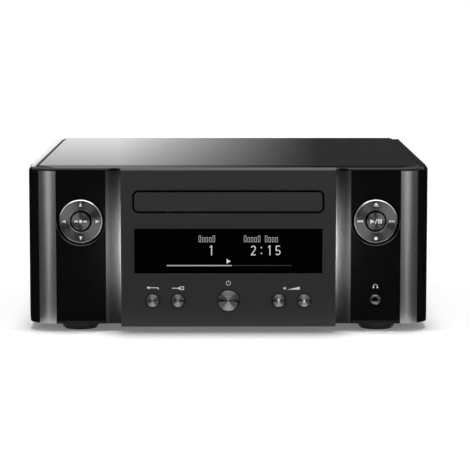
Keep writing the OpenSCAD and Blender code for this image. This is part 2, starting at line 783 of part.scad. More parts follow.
// Display module on four legs that stand on the front board
module display_module() {
    face = [window_w - 8, window_h - 4];
    y_face = y_panel_back + window_flange_t + part_gap;
    depth = 5;
    color("darkslategray") union() {
        bar([-face[0] / 2, face[0] / 2], [y_face, y_face + depth], [z_window - face[1] / 2, z_window + face[1] / 2]);
        for (sx = [-1, 1], sz = [-1, 1])
            rod_y(sx * (face[0] / 2 - 6), z_window + sz * (face[1] / 2 - 4), 1.5, [y_face + depth, front_board_y]);
    }
}

// Headphone socket
module phones_jack() {
    half_w = 4.5;
    color("silver") difference() {
        union() {
            rod_y(x_ring, z_phones, phones_ferrule_r, [y_gloss - phones_proud, y_wall_back + 2 * part_gap]);
            bar([x_ring - half_w, x_ring + half_w], [y_wall_back + part_gap, side_board_y],
                [z_phones - half_w, z_phones + half_w]);
        }
        rod_y(x_ring, z_phones, phones_r, [y_gloss - phones_proud - cut, y_gloss - phones_proud + phones_depth]);
    }
}

// Boards behind the keys: one across the centre panel and one behind each gloss panel
module key_boards() {
    color("darkgreen") {
        bar([-front_post_x - 4, front_post_x + 4], [front_board_y, front_board_y + board_t],
            [front_board_low, front_board_high]);
        for (s = [-1, 1])
            bar([s * x_ring - side_board_w / 2, s * x_ring + side_board_w / 2], [side_board_y, side_board_y + board_t],
                [s > 0 ? phones_board_low : side_board_low, side_board_top]);
    }
}

module tact_switch(x, z, y_board) {
    y_top = y_board - switch_h;
    bar([x - switch_w / 2, x + switch_w / 2], [y_top + switch_button_h, y_board], [z - switch_w / 2, z + switch_w / 2]);
    rod_y(x, z, switch_button_r, [y_top, y_top + switch_button_h]);
}

module tact_switches() {
    color("gainsboro") {
        for (k = key_places)
            tact_switch(k[0], z_keys, front_board_y);
        for (s = [-1, 1]) {
            tact_switch(s * x_ring, z_ring, side_board_y);
            for (a = [0:90:270])
                tact_switch(s * x_ring + plunger_orbit * cos(a), z_ring + plunger_orbit * sin(a), side_board_y);
        }
    }
}

// Keys on the centre panel: a cap, a flange behind the panel and a stem to the switch
module panel_key(x, d) {
    flange_r = d / 2 + 3 * key_gap;
    y_flange = y_panel_back + part_gap;
    stem_end = front_board_y - switch_h - stem_gap;
    dish_r = 6 * d;
    color("silver") difference() {
        union() {
            rod_y(x, z_keys, d / 2, [y_key, y_flange]);
            rod_y(x, z_keys, flange_r, [y_flange, y_flange + 1.3]);
            rod_y(x, z_keys, 2, [y_flange, stem_end]);
        }
        // Shallow dish in the face
        translate([x, y_key - dish_r + pow(d / 2, 2) / (2 * dish_r) * 0.8, z_keys]) sphere(r = dish_r);
    }
}

module back_key() { panel_key(key_places[0][0], key_places[0][1]); }
module input_key() { panel_key(key_places[1][0], key_places[1][1]); }
module power_key() { panel_key(key_places[2][0], key_places[2][1]); }
module volume_down_key() { panel_key(key_places[3][0], key_places[3][1]); }
module volume_up_key() { panel_key(key_places[4][0], key_places[4][1]); }

// Key in the middle of a control ring, guided by its stem in the well's floor
module centre_key(s) {
    y_face = y_gloss - ring_proud - 0.2;
    stem_end = side_board_y - switch_h - stem_gap;
    color("silver") union() {
        rod_y(s * x_ring, z_ring, centre_key_r, [y_face, y_face + ring_t]);
        rod_y(s * x_ring, z_ring, centre_stem_r, [y_face + ring_t, stem_end]);
    }
}

module enter_key() { centre_key(-1); }
module play_key() { centre_key(1); }

// Control ring: a flat face on a skirt that turns up and down on the carrier's side pins
module control_ring(s) {
    y_face = y_gloss - ring_proud;
    x = s * x_ring;
    color("gray") difference() {
        union() {
            cone_y(x, z_ring, ring_r - ring_edge, ring_r, [y_face, y_face + ring_edge]);
            rod_y(x, z_ring, ring_r, [y_face + ring_edge, y_face + ring_t]);
            rod_y(x, z_ring, skirt_r_out, [y_face + ring_t, skirt_back]);
            for (a = [0:90:270])
                rod_y(x + plunger_orbit * cos(a), z_ring + plunger_orbit * sin(a), plunger_r,
                    [skirt_back - cut, side_board_y - switch_h - plunger_gap]);
        }
        rod_y(x, z_ring, ring_hole_r, [y_face - cut, y_face + ring_t + cut]);
        cone_y(x, z_ring, ring_hole_r + ring_hole_edge, ring_hole_r, [y_face, y_face + ring_hole_edge]);
        rod_y(x, z_ring, skirt_r_in, [y_face + ring_t, skirt_back + cut]);
        rod_x(pivot_y, z_ring, pivot_r + pin_gap, [x - skirt_r_out - cut, x + skirt_r_out + cut]);
    }
}

module cursor_ring() { control_ring(-1); }
module transport_ring() { control_ring(1); }

// Carrier: a thin ring that turns left and right on its top and bottom pins in the well's wall
module ring_carrier(s) {
    x = s * x_ring;
    y_span = [pivot_y - carrier_t / 2, pivot_y + carrier_t / 2];
    inner = skirt_r_in + 0.6;
    outer = well_r + well_wall - 0.4;
    color("dimgray") union() {
        difference() {
            rod_y(x, z_ring, carrier_r_out, y_span);
            rod_y(x, z_ring, carrier_r_in, [y_span[0] - cut, y_span[1] + cut]);
        }
        for (k = [-1, 1]) {
            rod_x(pivot_y, z_ring, pivot_r, k > 0 ? [x + inner, x + carrier_r_out - 0.5] : [x - carrier_r_out + 0.5, x - inner]);
            rod_z(x, pivot_y, pivot_r,
                k > 0 ? [z_ring + carrier_r_in + 0.5, z_ring + outer] : [z_ring - outer, z_ring - carrier_r_in - 0.5]);
        }
    }
}

module cursor_carrier() { ring_carrier(-1); }
module transport_carrier() { ring_carrier(1); }

// Feet: turned bodies, rubber pads in their undersides, and screws into the chassis
module foot(p) {
    r = foot_d / 2;
    difference() {
        translate([p[0], p[1], 0]) rotate_extrude()
            polygon([[0, pad_t - pad_seat], [r - 0.9, pad_t - pad_seat], [r - 0.5, pad_t - pad_seat + 0.4],
                [r, z_base - 1], [r, z_base], [0, z_base]]);
        rod_z(p[0], p[1], screw_r + pin_gap, [-cut, z_base + cut]);
        rod_z(p[0], p[1], screw_head_r + part_gap, [-cut, pad_t - pad_seat + screw_head_h]);
        difference() {
            rod_z(p[0], p[1], pad_r_out + pin_gap, [-cut, pad_t]);
            rod_z(p[0], p[1], pad_r_in - pin_gap, [-cut - cut, pad_t + cut]);
        }
    }
}

module feet() { color("black") for (p = foot_points) foot(p); }

module foot_pads() {
    color([0.1, 0.1, 0.1]) for (p = foot_points) difference() {
        rod_z(p[0], p[1], pad_r_out, [0, pad_t]);
        rod_z(p[0], p[1], pad_r_in, [-cut, pad_t + cut]);
    }
}

function rear_screw_points() = concat(
    [for (s = [-1, 1], z = [z_screw_low, z_screw_high]) [s * x_screw, z]],
    [for (s = [-1, 1]) [s * lid_screw_x, z_ledge - lid_flange_h / 2]]);

module case_screws() {
    z_head = pad_t - pad_seat + screw_head_h;
    color("black") {
        for (p = foot_points) {
            rod_z(p[0], p[1], screw_r, [z_head - screw_head_h / 2, z_floor + 4]);
            rod_z(p[0], p[1], screw_head_r, [z_head - screw_head_h, z_head]);
        }
        for (p = rear_screw_points()) difference() {
            union() {
                rod_y(p[0], p[1], screw_r, [y_in - rear_screw_l, y_rear]);
                rod_y(p[0], p[1], rear_screw_r, [y_rear, y_rear + screw_head_h]);
            }
            for (a = [0, 90])
                translate([p[0], y_rear + screw_head_h, p[1]]) rotate([0, a, 0]) cube([0.8, 1.8, 3.4], center = true);
        }
    }
}

// Boards on the chassis, with holes round the loader's posts
module floor_board(x, y) {
    difference() {
        bar(x, y, [z_board, z_on_board]);
        for (s = [-1, 1], py = post_ys)
            rod_z(s * post_x, py, post_clear_r, [z_board - cut, z_on_board + cut]);
    }
}

module power_board() { color("darkgreen") floor_board(power_board_x, board_y); }
module main_board() { color("darkgreen") floor_board(main_board_x, board_y); }

module mains_transformer() {
    core = [34, 30, 26];
    winding = [22, 40, 18];
    x = power_board_x[0] + 32;
    y = board_y[1] - 70;
    color("goldenrod") union() {
        bar([x - core[0] / 2, x + core[0] / 2], [y - core[1] / 2, y + core[1] / 2], [z_on_board, z_on_board + core[2]]);
        bar([x - winding[0] / 2, x + winding[0] / 2], [y - winding[1] / 2, y + winding[1] / 2],
            [z_on_board, z_on_board + winding[2]]);
    }
}

module reservoir_capacitors() {
    cap_body_r = 12.5;
    color("midnightblue") for (i = [0, 1])
        rod_z(power_board_x[0] + 20 + i * 30, board_y[0] + 70, cap_body_r, [z_on_board, z_on_board + 36]);
}

// Heatsink of the amplifier: a base with upright fins
module heatsink() {
    size = [56, 80, 42];
    base_t = 5;
    fin_t = 1.8;
    fin_pitch = 7;
    x0 = main_board_x[1] - size[0] - 4;
    y0 = board_y[0] + 60;
    color("darkgray") union() {
        bar([x0, x0 + size[0]], [y0, y0 + size[1]], [z_on_board, z_on_board + base_t]);
        for (i = [0:floor((size[0] - fin_t) / fin_pitch)])
            bar([x0 + i * fin_pitch, x0 + i * fin_pitch + fin_t], [y0, y0 + size[1]],
                [z_on_board, z_on_board + size[2]]);
    }
}

// Sockets on the rear panel
module inlet_shape(grow, y) {
    slab_y(inlet_x, z_inlet, 24 + 2 * grow, 16 + 2 * grow, 3, y);
}

module mains_inlet() {
    mouth = [12.8, 7.4];
    depth = 14;
    y_face = y_rear + 2;
    color([0.05, 0.05, 0.05]) union() {
        difference() {
            union() {
                inlet_shape(0, [y_in - 16, y_rear + 0.5]);
                slab_y(inlet_x, z_inlet, 28, 20, 3, [y_rear, y_face]);
            }
            slab_y(inlet_x, z_inlet, mouth[0], mouth[1], mouth[1] / 2 - 0.1, [y_face - depth, y_face + cut]);
        }
        for (s = [-1, 1])
            rod_y(inlet_x + s * inlet_pin_x, z_inlet, 1.2, [y_face - depth - 1, y_face - 3]);
    }
}

module rca_jacks() {
    color("gold") for (x = rca_xs) difference() {
        union() {
            bar([x - rca_flange_r, x + rca_flange_r], [y_in - 13, y_in], [z_on_board, z_jack + rca_flange_r]);
            rod_y(x, z_jack, rca_neck_r, [y_in - cut, y_rear + cut]);
            rod_y(x, z_jack, rca_flange_r, [y_rear, y_rear + 1.2]);
            rod_y(x, z_jack, rca_r, [y_rear, y_rear + rca_len]);
        }
        rod_y(x, z_jack, rca_bore_r, [y_rear + rca_len - rca_bore_l, y_rear + rca_len + cut]);
    }
}

module network_shape(grow, y) {
    bar([network_x - 8 - grow, network_x + 8 + grow], y, [z_on_board - grow, z_on_board + 14 + grow]);
}

module optical_shape(grow, y) {
    bar([optical_x - 6.5 - grow, optical_x + 6.5 + grow], y, [z_on_board - grow, z_on_board + 11 + grow]);
}

module digital_jacks() {
    color([0.12, 0.12, 0.12]) {
        difference() {
            network_shape(0, [y_in - 20, y_rear + 0.5]);
            bar([network_x - 5.9, network_x + 5.9], [y_in - 12, y_rear + cut], [z_on_board + 2, z_on_board + 9]);
            bar([network_x - 3, network_x + 3], [y_in - 12, y_rear + cut], [z_on_board + 8, z_on_board + 11.5]);
        }
        difference() {
            optical_shape(0, [y_in - 14, y_rear + 0.5]);
            bar([optical_x - 3.2, optical_x + 3.2], [y_in - 7, y_rear + cut], [z_on_board + 2.5, z_on_board + 8.5]);
        }
    }
}

// Threaded aerial barrels with hexagon nuts outside and a body inside
module aerial_socket(x, z, r) {
    nut_t = 2.5;
    union() {
        rod_y(x, z, r, [y_in - 4, y_rear + aerial_len]);
        translate([x, y_rear, z]) rotate([-90, 0, 0]) cylinder(r = r * 1.65, h = nut_t, $fn = 6);
        rod_y(x, z, r * 1.5, [y_in - 12, y_in]);
    }
}

module aerial_sockets() {
    color("silver") {
        for (s = [-1, 1])
            aerial_socket(s * wifi_x, z_wifi, wifi_r);
        aerial_socket(fm_x, z_fm, fm_r);
    }
}

module speaker_block() {
    w = terminal_block_w;
    h = terminal_block_h;
    color([0.05, 0.05, 0.05]) difference() {
        union() {
            slab_y(terminal_mid, z_terminal, w, h, 2, [y_rear, y_rear + terminal_plate_t]);
            bar([terminal_mid - w / 2 + 2, terminal_mid + w / 2 - 2], [y_in - 6, y_rear + cut],
                [z_terminal - h / 2 + 2, z_terminal + h / 2 - 2]);
        }
        for (x = terminal_xs)
            rod_y(x, z_terminal, post_stud_r + pin_gap, [y_in - 6 - cut, y_rear + terminal_plate_t + cut]);
    }
}

module terminal_posts() {
    y_collar = y_rear + terminal_plate_t;
    color("gold") for (x = terminal_xs) union() {
        rod_y(x, z_terminal, post_stud_r, [y_in - 14, y_end - cap_end_t - part_gap]);
        rod_y(x, z_terminal, collar_r, [y_collar, y_collar + collar_t]);
    }
}

module terminal_cap(i) {
    x = terminal_xs[i];
    y_span = [y_rear + terminal_plate_t + collar_t + part_gap, y_end];
    flutes = 12;
    flute_r = 0.7;
    color(i % 2 == 0 ? "firebrick" : [0.08, 0.08, 0.08]) difference() {
        rod_y(x, z_terminal, cap_r, y_span);
        rod_y(x, z_terminal, post_stud_r + pin_gap, [y_span[0] - cut, y_end - cap_end_t]);
        for (k = [0:flutes - 1])
            rod_y(x + cap_r * cos(k * 360 / flutes), z_terminal + cap_r * sin(k * 360 / flutes), flute_r,
                [y_span[0] + 2, y_end + cut]);
    }
}

module terminal_cap_1() { terminal_cap(0); }
module terminal_cap_2() { terminal_cap(1); }
module terminal_cap_3() { terminal_cap(2); }
module terminal_cap_4() { terminal_cap(3); }

// Disc loader
module loader_posts() {
    color("silver") for (s = [-1, 1], y = post_ys)
        rod_z(s * post_x, y, post_r, [z_floor, z_frame]);
}

module frame_window() {
    half = traverse_half + 1;
    bar([-half, half], [y_traverse_front - 5, y_traverse_back + 3], [z_frame - cut, z_frame + frame_base_t + cut]);
}

module loader_frame() {
    x_out = frame_w / 2;
    x_wall = x_out - frame_wall;
    x_guide = x_rack - 4.5;
    ear_x = [traverse_half + ear_gap, traverse_half + trunnion_l + ear_gap];
    lip_l = 14;
    y_span = [y_frame_front, y_frame_back];
    color("slategray") difference() {
        union() {
            bar([-x_out, x_out], y_span, [z_frame, z_frame + frame_base_t]);
            for (s = [-1, 1]) mirror([s > 0 ? 0 : 1, 0, 0]) {
                bar([x_wall, x_out], y_span, [z_frame, z_frame_top]);
                bar([-x_guide, x_wall + cut], y_span, [z_rail - part_gap - guide_t, z_rail - part_gap]);
                for (y = [y_frame_front, y_frame_back - lip_l])
                    bar([tray_w / 2 - 2, x_wall + cut], [y, y + lip_l], [z_rim + slip_gap, z_frame_top]);
                bar(ear_x, [y_pivot - 5, y_pivot + 5], [z_frame, z_traverse_top + 2.5]);
            }
            rod_z(x_gear, y_gear, gear_pin_r + 2.5, [z_frame, z_wheel - part_gap]);
            rod_z(x_gear, y_gear, gear_pin_r, [z_frame, z_bed_low - slip_gap]);
        }
        frame_window();
        rod_x(y_pivot, z_traverse + traverse_t / 2, trunnion_r + trunnion_gap, [-ear_x[1] - cut, ear_x[1] + cut]);
        rod_z(x_motor, y_gear, motor_shaft_r + slip_gap, [z_frame - cut, z_frame + frame_base_t + cut]);
    }
}

module clamp_bridge() {
    x_out = frame_w / 2;
    color("silver") difference() {
        bar([-x_out, x_out], [y_disc - bridge_half_l, y_disc + bridge_half_l], [z_frame_top, z_frame_top + bridge_t]);
        rod_z(0, y_disc, puck_hole_r, [z_frame_top - cut, z_frame_top + bridge_t + cut]);
    }
}

module clamp_puck() {
    z_low = z_table + puck_air;
    z_seat = z_frame_top + bridge_t;
    color("black") difference() {
        union() {
            rod_z(0, y_disc, puck_boss_r, [z_low, z_seat]);
            rod_z(0, y_disc, puck_flange_r, [z_seat, z_seat + puck_flange_t]);
        }
        rod_z(0, y_disc, hub_r + 0.5, [z_low - cut, z_low + hub_h]);
    }
}

module loading_motor() {
    body_r = 12;
    body_l = 25;
    color("silver") union() {
        rod_z(x_motor, y_gear, body_r, [z_frame - body_l, z_frame]);
        rod_z(x_motor, y_gear, motor_shaft_r, [z_frame - cut, z_wheel + wheel_t + 0.5]);
    }
}

module motor_pinion() {
    color("ivory") translate([x_motor, y_gear, z_wheel]) difference() {
        linear_extrude(wheel_t) gear_outline(pinion_n, 180 / pinion_n);
        translate([0, 0, -cut]) cylinder(r = motor_shaft_r + pin_gap, h = wheel_t + 2 * cut);
    }
}

module tray_gear() {
    color("ivory") translate([x_gear, y_gear, z_wheel]) difference() {
        union() {
            linear_extrude(wheel_t) gear_outline(wheel_n, 0);
            linear_extrude(z_bed_low - slip_gap - z_wheel) gear_outline(rack_pinion_n, 0);
        }
        translate([0, 0, -cut]) cylinder(r = gear_pin_r + pin_gap, h = z_bed_low - z_wheel + 2 * cut);
    }
}

// Drawer: a tray with a disc recess, an open slot for the turntable and pickup, side rails and a rack
module disc_tray() {
    x_out = tray_w / 2;
    x_rail = -x_rack_back;
    z_over = z_rim + cut;
    color([0.12, 0.12, 0.12]) difference() {
        union() {
            bar([-x_out, x_out], [y_tray_front, y_tray_back], [z_bed_low, z_rim]);
            for (s = [-1, 1]) mirror([s > 0 ? 0 : 1, 0, 0])
                bar([x_rail, x_out], [y_tray_front + 4, y_rail_back], [z_rail, z_bed]);
            translate([x_rack, y_gear, z_rail]) linear_extrude(z_bed_low - z_rail)
                rack_outline(rack_teeth_before, rack_teeth_after, x_rack_back - x_rack);
        }
        rod_z(0, y_disc, disc_recess_r, [z_bed, z_over]);
        rod_z(0, y_disc, small_disc_r, [z_bed - small_disc_drop, z_over]);
        rod_z(0, y_disc, slot_half, [z_rail - cut, z_over]);
        bar([-slot_half, slot_half], [y_disc, y_tray_back + cut], [z_rail - cut, z_over]);
    }
}

module tray_front() {
    color([0.18, 0.18, 0.19])
        slab_y(0, z_tray, lid_w, lid_h, lid_r, [y_panel, y_panel + lid_t]);
}

// Traverse: the tilting base of the turntable and pickup
module traverse_frame() {
    z_mid = z_traverse + traverse_t / 2;
    color("dimgray") difference() {
        union() {
            bar([-traverse_half, traverse_half], [y_traverse_front, y_traverse_back], [z_traverse, z_traverse_top]);
            for (s = [-1, 1]) mirror([s > 0 ? 0 : 1, 0, 0]) {
                rod_x(y_pivot, z_mid, trunnion_r, [traverse_half - cut, traverse_half + trunnion_l]);
                for (y = [rod_ends[0] - rod_block / 2, rod_ends[1] - rod_block / 2])
                    bar([rod_x_at - 3, rod_x_at + 3], [y, y + rod_block], [z_traverse, z_rod + 3]);
            }
        }
        bar([-20, 20], [rod_ends[0] + rod_block, rod_ends[1] - rod_block], [z_traverse - cut, z_traverse_top + cut]);
        rod_z(0, y_disc, shaft_r + 2, [z_traverse - cut, z_traverse_top + cut]);
        rod_z(x_sled, y_sled, shaft_r + 2, [z_traverse - cut, z_traverse_top + cut]);
        for (s = [-1, 1])
            rod_y(s * rod_x_at, z_rod, rod_r + pin_gap, [rod_ends[0] - rod_block, rod_ends[1] + rod_block]);
    }
}

module guide_rods() {
    color("silver") for (s = [-1, 1])
        rod_y(s * rod_x_at, z_rod, rod_r, [rod_ends[0] - rod_block / 2, rod_ends[1] + rod_block / 2]);
}

// Motors under the traverse: one turns the turntable, one drives the pickup
module mechanism_motors() {
    color("silver") {
        rod_z(0, y_disc, motor_r, [z_traverse - motor_h, z_traverse]);
        rod_z(0, y_disc, shaft_r, [z_traverse - cut, z_table]);
        rod_z(x_sled, y_sled, sled_motor_r, [z_traverse - sled_motor_h, z_traverse]);
        rod_z(x_sled, y_sled, shaft_r, [z_traverse - cut, z_sled + sled_gear_t]);
    }
}

module sled_gear() {
    color("ivory") translate([x_sled, y_sled, z_sled]) difference() {
        linear_extrude(sled_gear_t) gear_outline(sled_n, 0);
        translate([0, 0, -cut]) cylinder(r = shaft_r + pin_gap, h = sled_gear_t + 2 * cut);
    }
}

module turntable() {
    flange_t = 2.6;
    color("black") difference() {
        union() {
            rod_z(0, y_disc, 5, [z_traverse_top + part_gap * 4, z_table]);
            rod_z(0, y_disc, table_r, [z_table - flange_t, z_table]);
            translate([0, y_disc, z_table]) cylinder(r1 = hub_r, r2 = hub_r - 1, h = hub_h);
        }
        rod_z(0, y_disc, shaft_r + pin_gap, [z_traverse, z_table + pin_gap]);
    }
}

module optical_pickup() {
    y_span = [y_lens - pickup_half_l, y_lens + pickup_half_l];
    z_low = z_traverse_top + 2 * part_gap;
    z_body = z_bed_low - 1.3;
    rack_before = ceil(pickup_travel / rack_pitch) + 1;
    color([0.15, 0.15, 0.16]) difference() {
        union() {
            bar([-17, 17], y_span, [z_low, z_body]);
            bar([-lug_x, x_sled_rack - dedendum], [y_lens - 6, y_lens + 6], [z_low, z_rod + 2.8]);
            translate([x_sled_rack, y_sled, z_low]) linear_extrude(z_sled + sled_gear_t - z_low)
                rack_outline(rack_before, 2, -dedendum - sled_rack_t);
            bar([-8, 8], [y_lens - 6, y_lens + 6], [z_low, z_bed_low + 0.7]);
            rod_z(0, y_lens, 4, [z_low, z_bed_low + 1.4]);
        }
        for (s = [-1, 1])
            rod_y(s * rod_x_at, z_rod, rod_r + 2 * pin_gap, [y_span[0] - cut, y_span[1] + cut]);
    }
}

bottom_chassis();
rear_panel();
left_side_panel();
right_side_panel();
top_cover();
top_plate();
front_bezel();
left_gloss_panel();
right_gloss_panel();
centre_panel();
light_guides();
display_window();
display_module();
phones_jack();
key_boards();
tact_switches();
feet();
foot_pads();
case_screws();
power_board();
mains_transformer();
reservoir_capacitors();
mains_inlet();
main_board();
heatsink();
rca_jacks();
digital_jacks();
aerial_sockets();
speaker_block();
terminal_posts();
loader_posts();
loader_frame();
clamp_bridge();
loading_motor();
disc_tray();
tray_front();
motor_pinion();
tray_gear();
traverse_frame();
guide_rods();
mechanism_motors();
turntable();
sled_gear();
optical_pickup();
clamp_puck();
back_key();
input_key();
power_key();
volume_down_key();
volume_up_key();
enter_key();
play_key();
cursor_ring();
transport_ring();
cursor_carrier();
transport_carrier();
terminal_cap_1();
terminal_cap_2();
terminal_cap_3();
terminal_cap_4();
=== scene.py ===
"""Finishes, printed marks, lit display and studio of a compact CD receiver."""
import math

import bmesh
import bpy
from bpy.props import FloatProperty, FloatVectorProperty, PointerProperty
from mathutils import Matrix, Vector


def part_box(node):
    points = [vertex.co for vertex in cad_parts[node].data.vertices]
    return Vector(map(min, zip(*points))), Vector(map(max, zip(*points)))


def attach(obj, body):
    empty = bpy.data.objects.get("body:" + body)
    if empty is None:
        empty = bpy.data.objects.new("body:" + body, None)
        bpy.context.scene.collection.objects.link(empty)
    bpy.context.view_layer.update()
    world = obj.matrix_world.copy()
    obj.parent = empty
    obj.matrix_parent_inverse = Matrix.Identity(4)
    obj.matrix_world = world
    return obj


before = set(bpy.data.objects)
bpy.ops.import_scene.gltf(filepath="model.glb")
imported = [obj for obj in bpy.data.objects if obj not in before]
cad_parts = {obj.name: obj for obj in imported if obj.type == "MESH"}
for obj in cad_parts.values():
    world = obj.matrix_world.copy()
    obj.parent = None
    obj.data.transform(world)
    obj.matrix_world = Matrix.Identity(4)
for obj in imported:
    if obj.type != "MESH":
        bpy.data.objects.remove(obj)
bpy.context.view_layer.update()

bl_info = {
    "name": "Compact CD Receiver",
    "version": (1, 0, 0),
    "blender": (4, 5, 0),
    "location": "View3D > Sidebar > Receiver",
    "description": "Dresses the solids of a compact CD receiver and sets up its studio",
    "category": "Object",
}

# Sizes and places below are in millimetres, apart from the studio's.
MM = 0.001

# Sharpest corner that a printed line's mitre follows, as the cosine of half its turn
LEAST_MITRE = 0.35

# Blacks that no setting changes: one for the velvet and for the painted shade in the gaps round the keys and
# the drawer, one for the painted shade on the flanks of the drawer's slot and the rings
VELVET_AND_GAP_SHADE_BLACK = "#020202"
FLANK_SHADE_BLACK = "#040404"

# Where the bezel's lacquers meet and where the channels' painted light begins, to each side of its middle,
# and the crown's edge above the ground
PAINTED_LIGHT_START_X = 82.0
CHANNEL_X = 86.0
CHEEK_X = 119.5
EDGE_X = 132.0
CROWN_Z = 112.4
# How much paler the matt lacquer is painted towards the channel's outer rim: painted light where the guides'
# glow falls
RIM_PAINTED_LIGHT_FACTOR = 3.0

# Strength of the light guides' exit edges, which look back into the channels, and their other sides' share
GUIDE_STRENGTH = 420.0
GUIDE_SIDE_SHARE = 0.08

# Black screen inside the rear vents, a dark sheet that stands in for the shade inside: lowest and highest
# corner across and up, depths, and its frame's bars
SCREEN_LOW = (-54.0, 49.5)
SCREEN_HIGH = (54.0, 99.0)
SCREEN_Y = (134.3, 134.7)
SCREEN_BAR_Y = (133.5, 134.5)
SCREEN_BAR = 3.0

# Drawer slot: its width, where the painted shade on its flanks begins, and the black line round the drawer,
# which is painted shade at the edge of its opening
SLOT_WIDTH = 1.5
SLOT_SHADE_START = 0.05
DRAWER_LINE = 0.5
DRAWER_LINE_GAP = 1.47
DRAWER_CORNER = 3.0

# Heights of the marks on the front
POWER_MARK_Z = 35.2
KEY_MARK_Z = 31.6
PHONES_MARK_Z = 31.9

# Panel keys: the black line round them, which is painted shade in the gap round each key, how far inside
# their widest edge it runs, and their dish's depth
PANEL_KEYS = ("back_key", "input_key", "power_key", "volume_down_key", "volume_up_key")
KEY_LINE = 0.7
KEY_LINE_INSET = 0.5
KEY_DISH = 0.11

# Control rings and their centre keys: swirl of the tool marks in degrees, depth of the cut edges, behind
# which the flanks are painted black as painted shade, and marks
RING_FINISHES = (
    ("cursor_ring", -65, 0.6), ("transport_ring", 65, 0.6), ("enter_key", -65, 0.1), ("play_key", 65, 0.1),
)
CUT_START = 0.03
CURSOR_MARK_RADIUS = 11.8

# Profiles of radius and depth behind the face
RING_TRIM = ((16.5, 0.1), (16.6, -0.02), (17.25, -0.35), (17.35, -0.35), (17.35, 0.1))
PHONES_FERRULE = ((1.8, 0.5), (1.8, -0.05), (2.1, -0.3), (2.9, -0.3), (3.4, -0.05), (3.45, 0.5))

# Display: heights of its rows, and what stands where in them
FIGURE_HEIGHT = 6.9
FIGURE_STROKE = 0.66
FIGURE_Z = 54.5
FIGURE_PLACES = (
    ("track_figure", "1", -13.4), ("minute_figure", "2", 15.6), ("time_colon", ":", 21.1),
    ("ten_second_figure", "1", 27.0), ("second_figure", "5", 32.5),
)
CELL_Z = 63.9
CELL_PITCH = 2.42
CELL_WIDTH = 1.3
CELL_STROKE = 0.32
CELL_HEIGHTS = {"t": 4.3, "s": 3.1}
CELL_PLACES = (("track_cells", "tssst", -20.4), ("time_cells", "tssst tsss", 11.0))
PLAY_AT = (0.2, 50.4)
PROGRESS_Z = 47.4
PROGRESS_HALF = 0.4
PROGRESS_X = (-42.8, 2.3, 43.8)

# Rear sockets: places across and up, and profiles of radius and depth
MAINS_X = -113.0
MAINS_Z = 28.7
MAINS_PIN_OFFSET = 4.3
MAINS_PIN = ((0, 123.6), (1.25, 123.6), (1.25, 134.6), (0.8, 135.05), (0, 135.05))
PHONO_Z = 28.3
PHONO_SOCKETS = (
    ("line_in_right", 22.0, "#9c1b1d", "red_plastic"),
    ("line_in_left", 40.0, "#d6d5cf", "white_nylon"),
    ("subwoofer_out", 58.0, "#2d2440", "black_plastic"),
)
PHONO_COLLAR = ((4.05, 137.1), (5.35, 137.1), (5.35, 138.0), (5.0, 138.5), (4.05, 138.5))
PHONO_MOUTH = ((1.7, 144.8), (3.4, 144.8), (3.4, 145.1), (3.2, 145.25), (1.9, 145.25), (1.7, 145.1))
WIRELESS_X = 121.0
RADIO_X = 92.0
AERIALS = ((-WIRELESS_X, 93.5, 3.1), (WIRELESS_X, 93.5, 3.1), (RADIO_X, 61.5, 4.7))
THREAD_Y = (138.7, 145.6)
THREAD_STEP = 0.4
THREAD_TURNS = 9
THREAD_RISES = (-0.04, 0.12)
THREAD_WALL = 0.2
INSULATOR_Y = (145.8, 146.05)
INSULATOR_BORE = 0.5
INSULATOR_SHARE = 0.6
TERMINAL_X = (-72.0, -54.0, -36.0, -18.0)
TERMINAL_MARK_Z = 39.8

# Blocks in the digital sockets: lowest and highest corners, with X from each piece's own middle
NETWORK_X = 101.0
NETWORK_PITCH = 1.02
NETWORK_CONTACT = (((-0.22, 123.5, 16.2), (0.22, 134.0, 16.8)), ((-0.22, 123.5, 16.7), (0.22, 127.5, 18.6)))
NETWORK_LAMP = ((-1.1, 135.9, 26.1), (1.1, 136.75, 27.6))
NETWORK_LAMPS = (("link", 94.9, "#4f8f3f"), ("speed", 107.1, "#b8862a"))
OPTICAL_X = 79.0
OPTICAL_SHUTTER = (((-3.1, 132.6, 16.9), (3.1, 133.4, 22.7)), ((-0.6, 133.2, 17.3), (0.6, 133.8, 22.3)))

# Studio, in metres: the floor's own light, and the black flags that lie and stand on the floor
FLOOR_GLOW = 0.16
ALL_BUT_GLOSSY = ("camera", "diffuse", "shadow", "transmission", "volume_scatter")
FLAG_LIFT = 0.002
FLAG_BACK_Y = 1.5
SIDE_FLAG_X = 0.15
SIDE_FLAG_HEIGHT = 0.35
FRONT_FLAG_HEIGHT = 0.2
# White wedges between the flags, from each front corner: bearings, then reaches and half-widths in degrees
WEDGE_CORNER = (0.125, -0.135)
WEDGE_BEARINGS = ((-1, "left", 34.0), (1, "right", 30.0))
WEDGE = ((0.05, 1.5), (0.19, 2.0), (0.43, 3.5), (0.66, 7.8), (0.86, 12.0), (1.2, 14.5), (1.7, 16.0))
# Upright cards: depth, then corners across and up
HIGH_FLAG = (-1.71, ((0.38, FRONT_FLAG_HEIGHT), (1.7, FRONT_FLAG_HEIGHT), (1.55, 1.65)))
REAR_CARD = (0.55, ((-0.015, 0.02), (1.5, 0.02), (1.5, 0.5), (-0.645, 0.5)))
LEFT_STRIP = (0.549, ((-0.5, 0.13), (-0.16, 0.137), (-0.2035, 0.178), (-0.5, 0.3)))
LEFT_GREY = (0.555, ((-0.5, 0.0), (0.0, 0.0), (0.0, 0.128), (-0.5, 0.128)))
REAR_FLAG = (0.56, ((-1.5, 0.0), (0.2, 0.0), (0.2, 0.5), (-1.5, 0.5)))


def linear(hex_text):
    """Linear RGBA of an sRGB hex colour."""
    channels = [int(hex_text[i:i + 2], 16) / 255 for i in (1, 3, 5)]
    return tuple(c / 12.92 if c <= 0.04045 else ((c + 0.055) / 1.055) ** 2.4 for c in channels) + (1.0,)


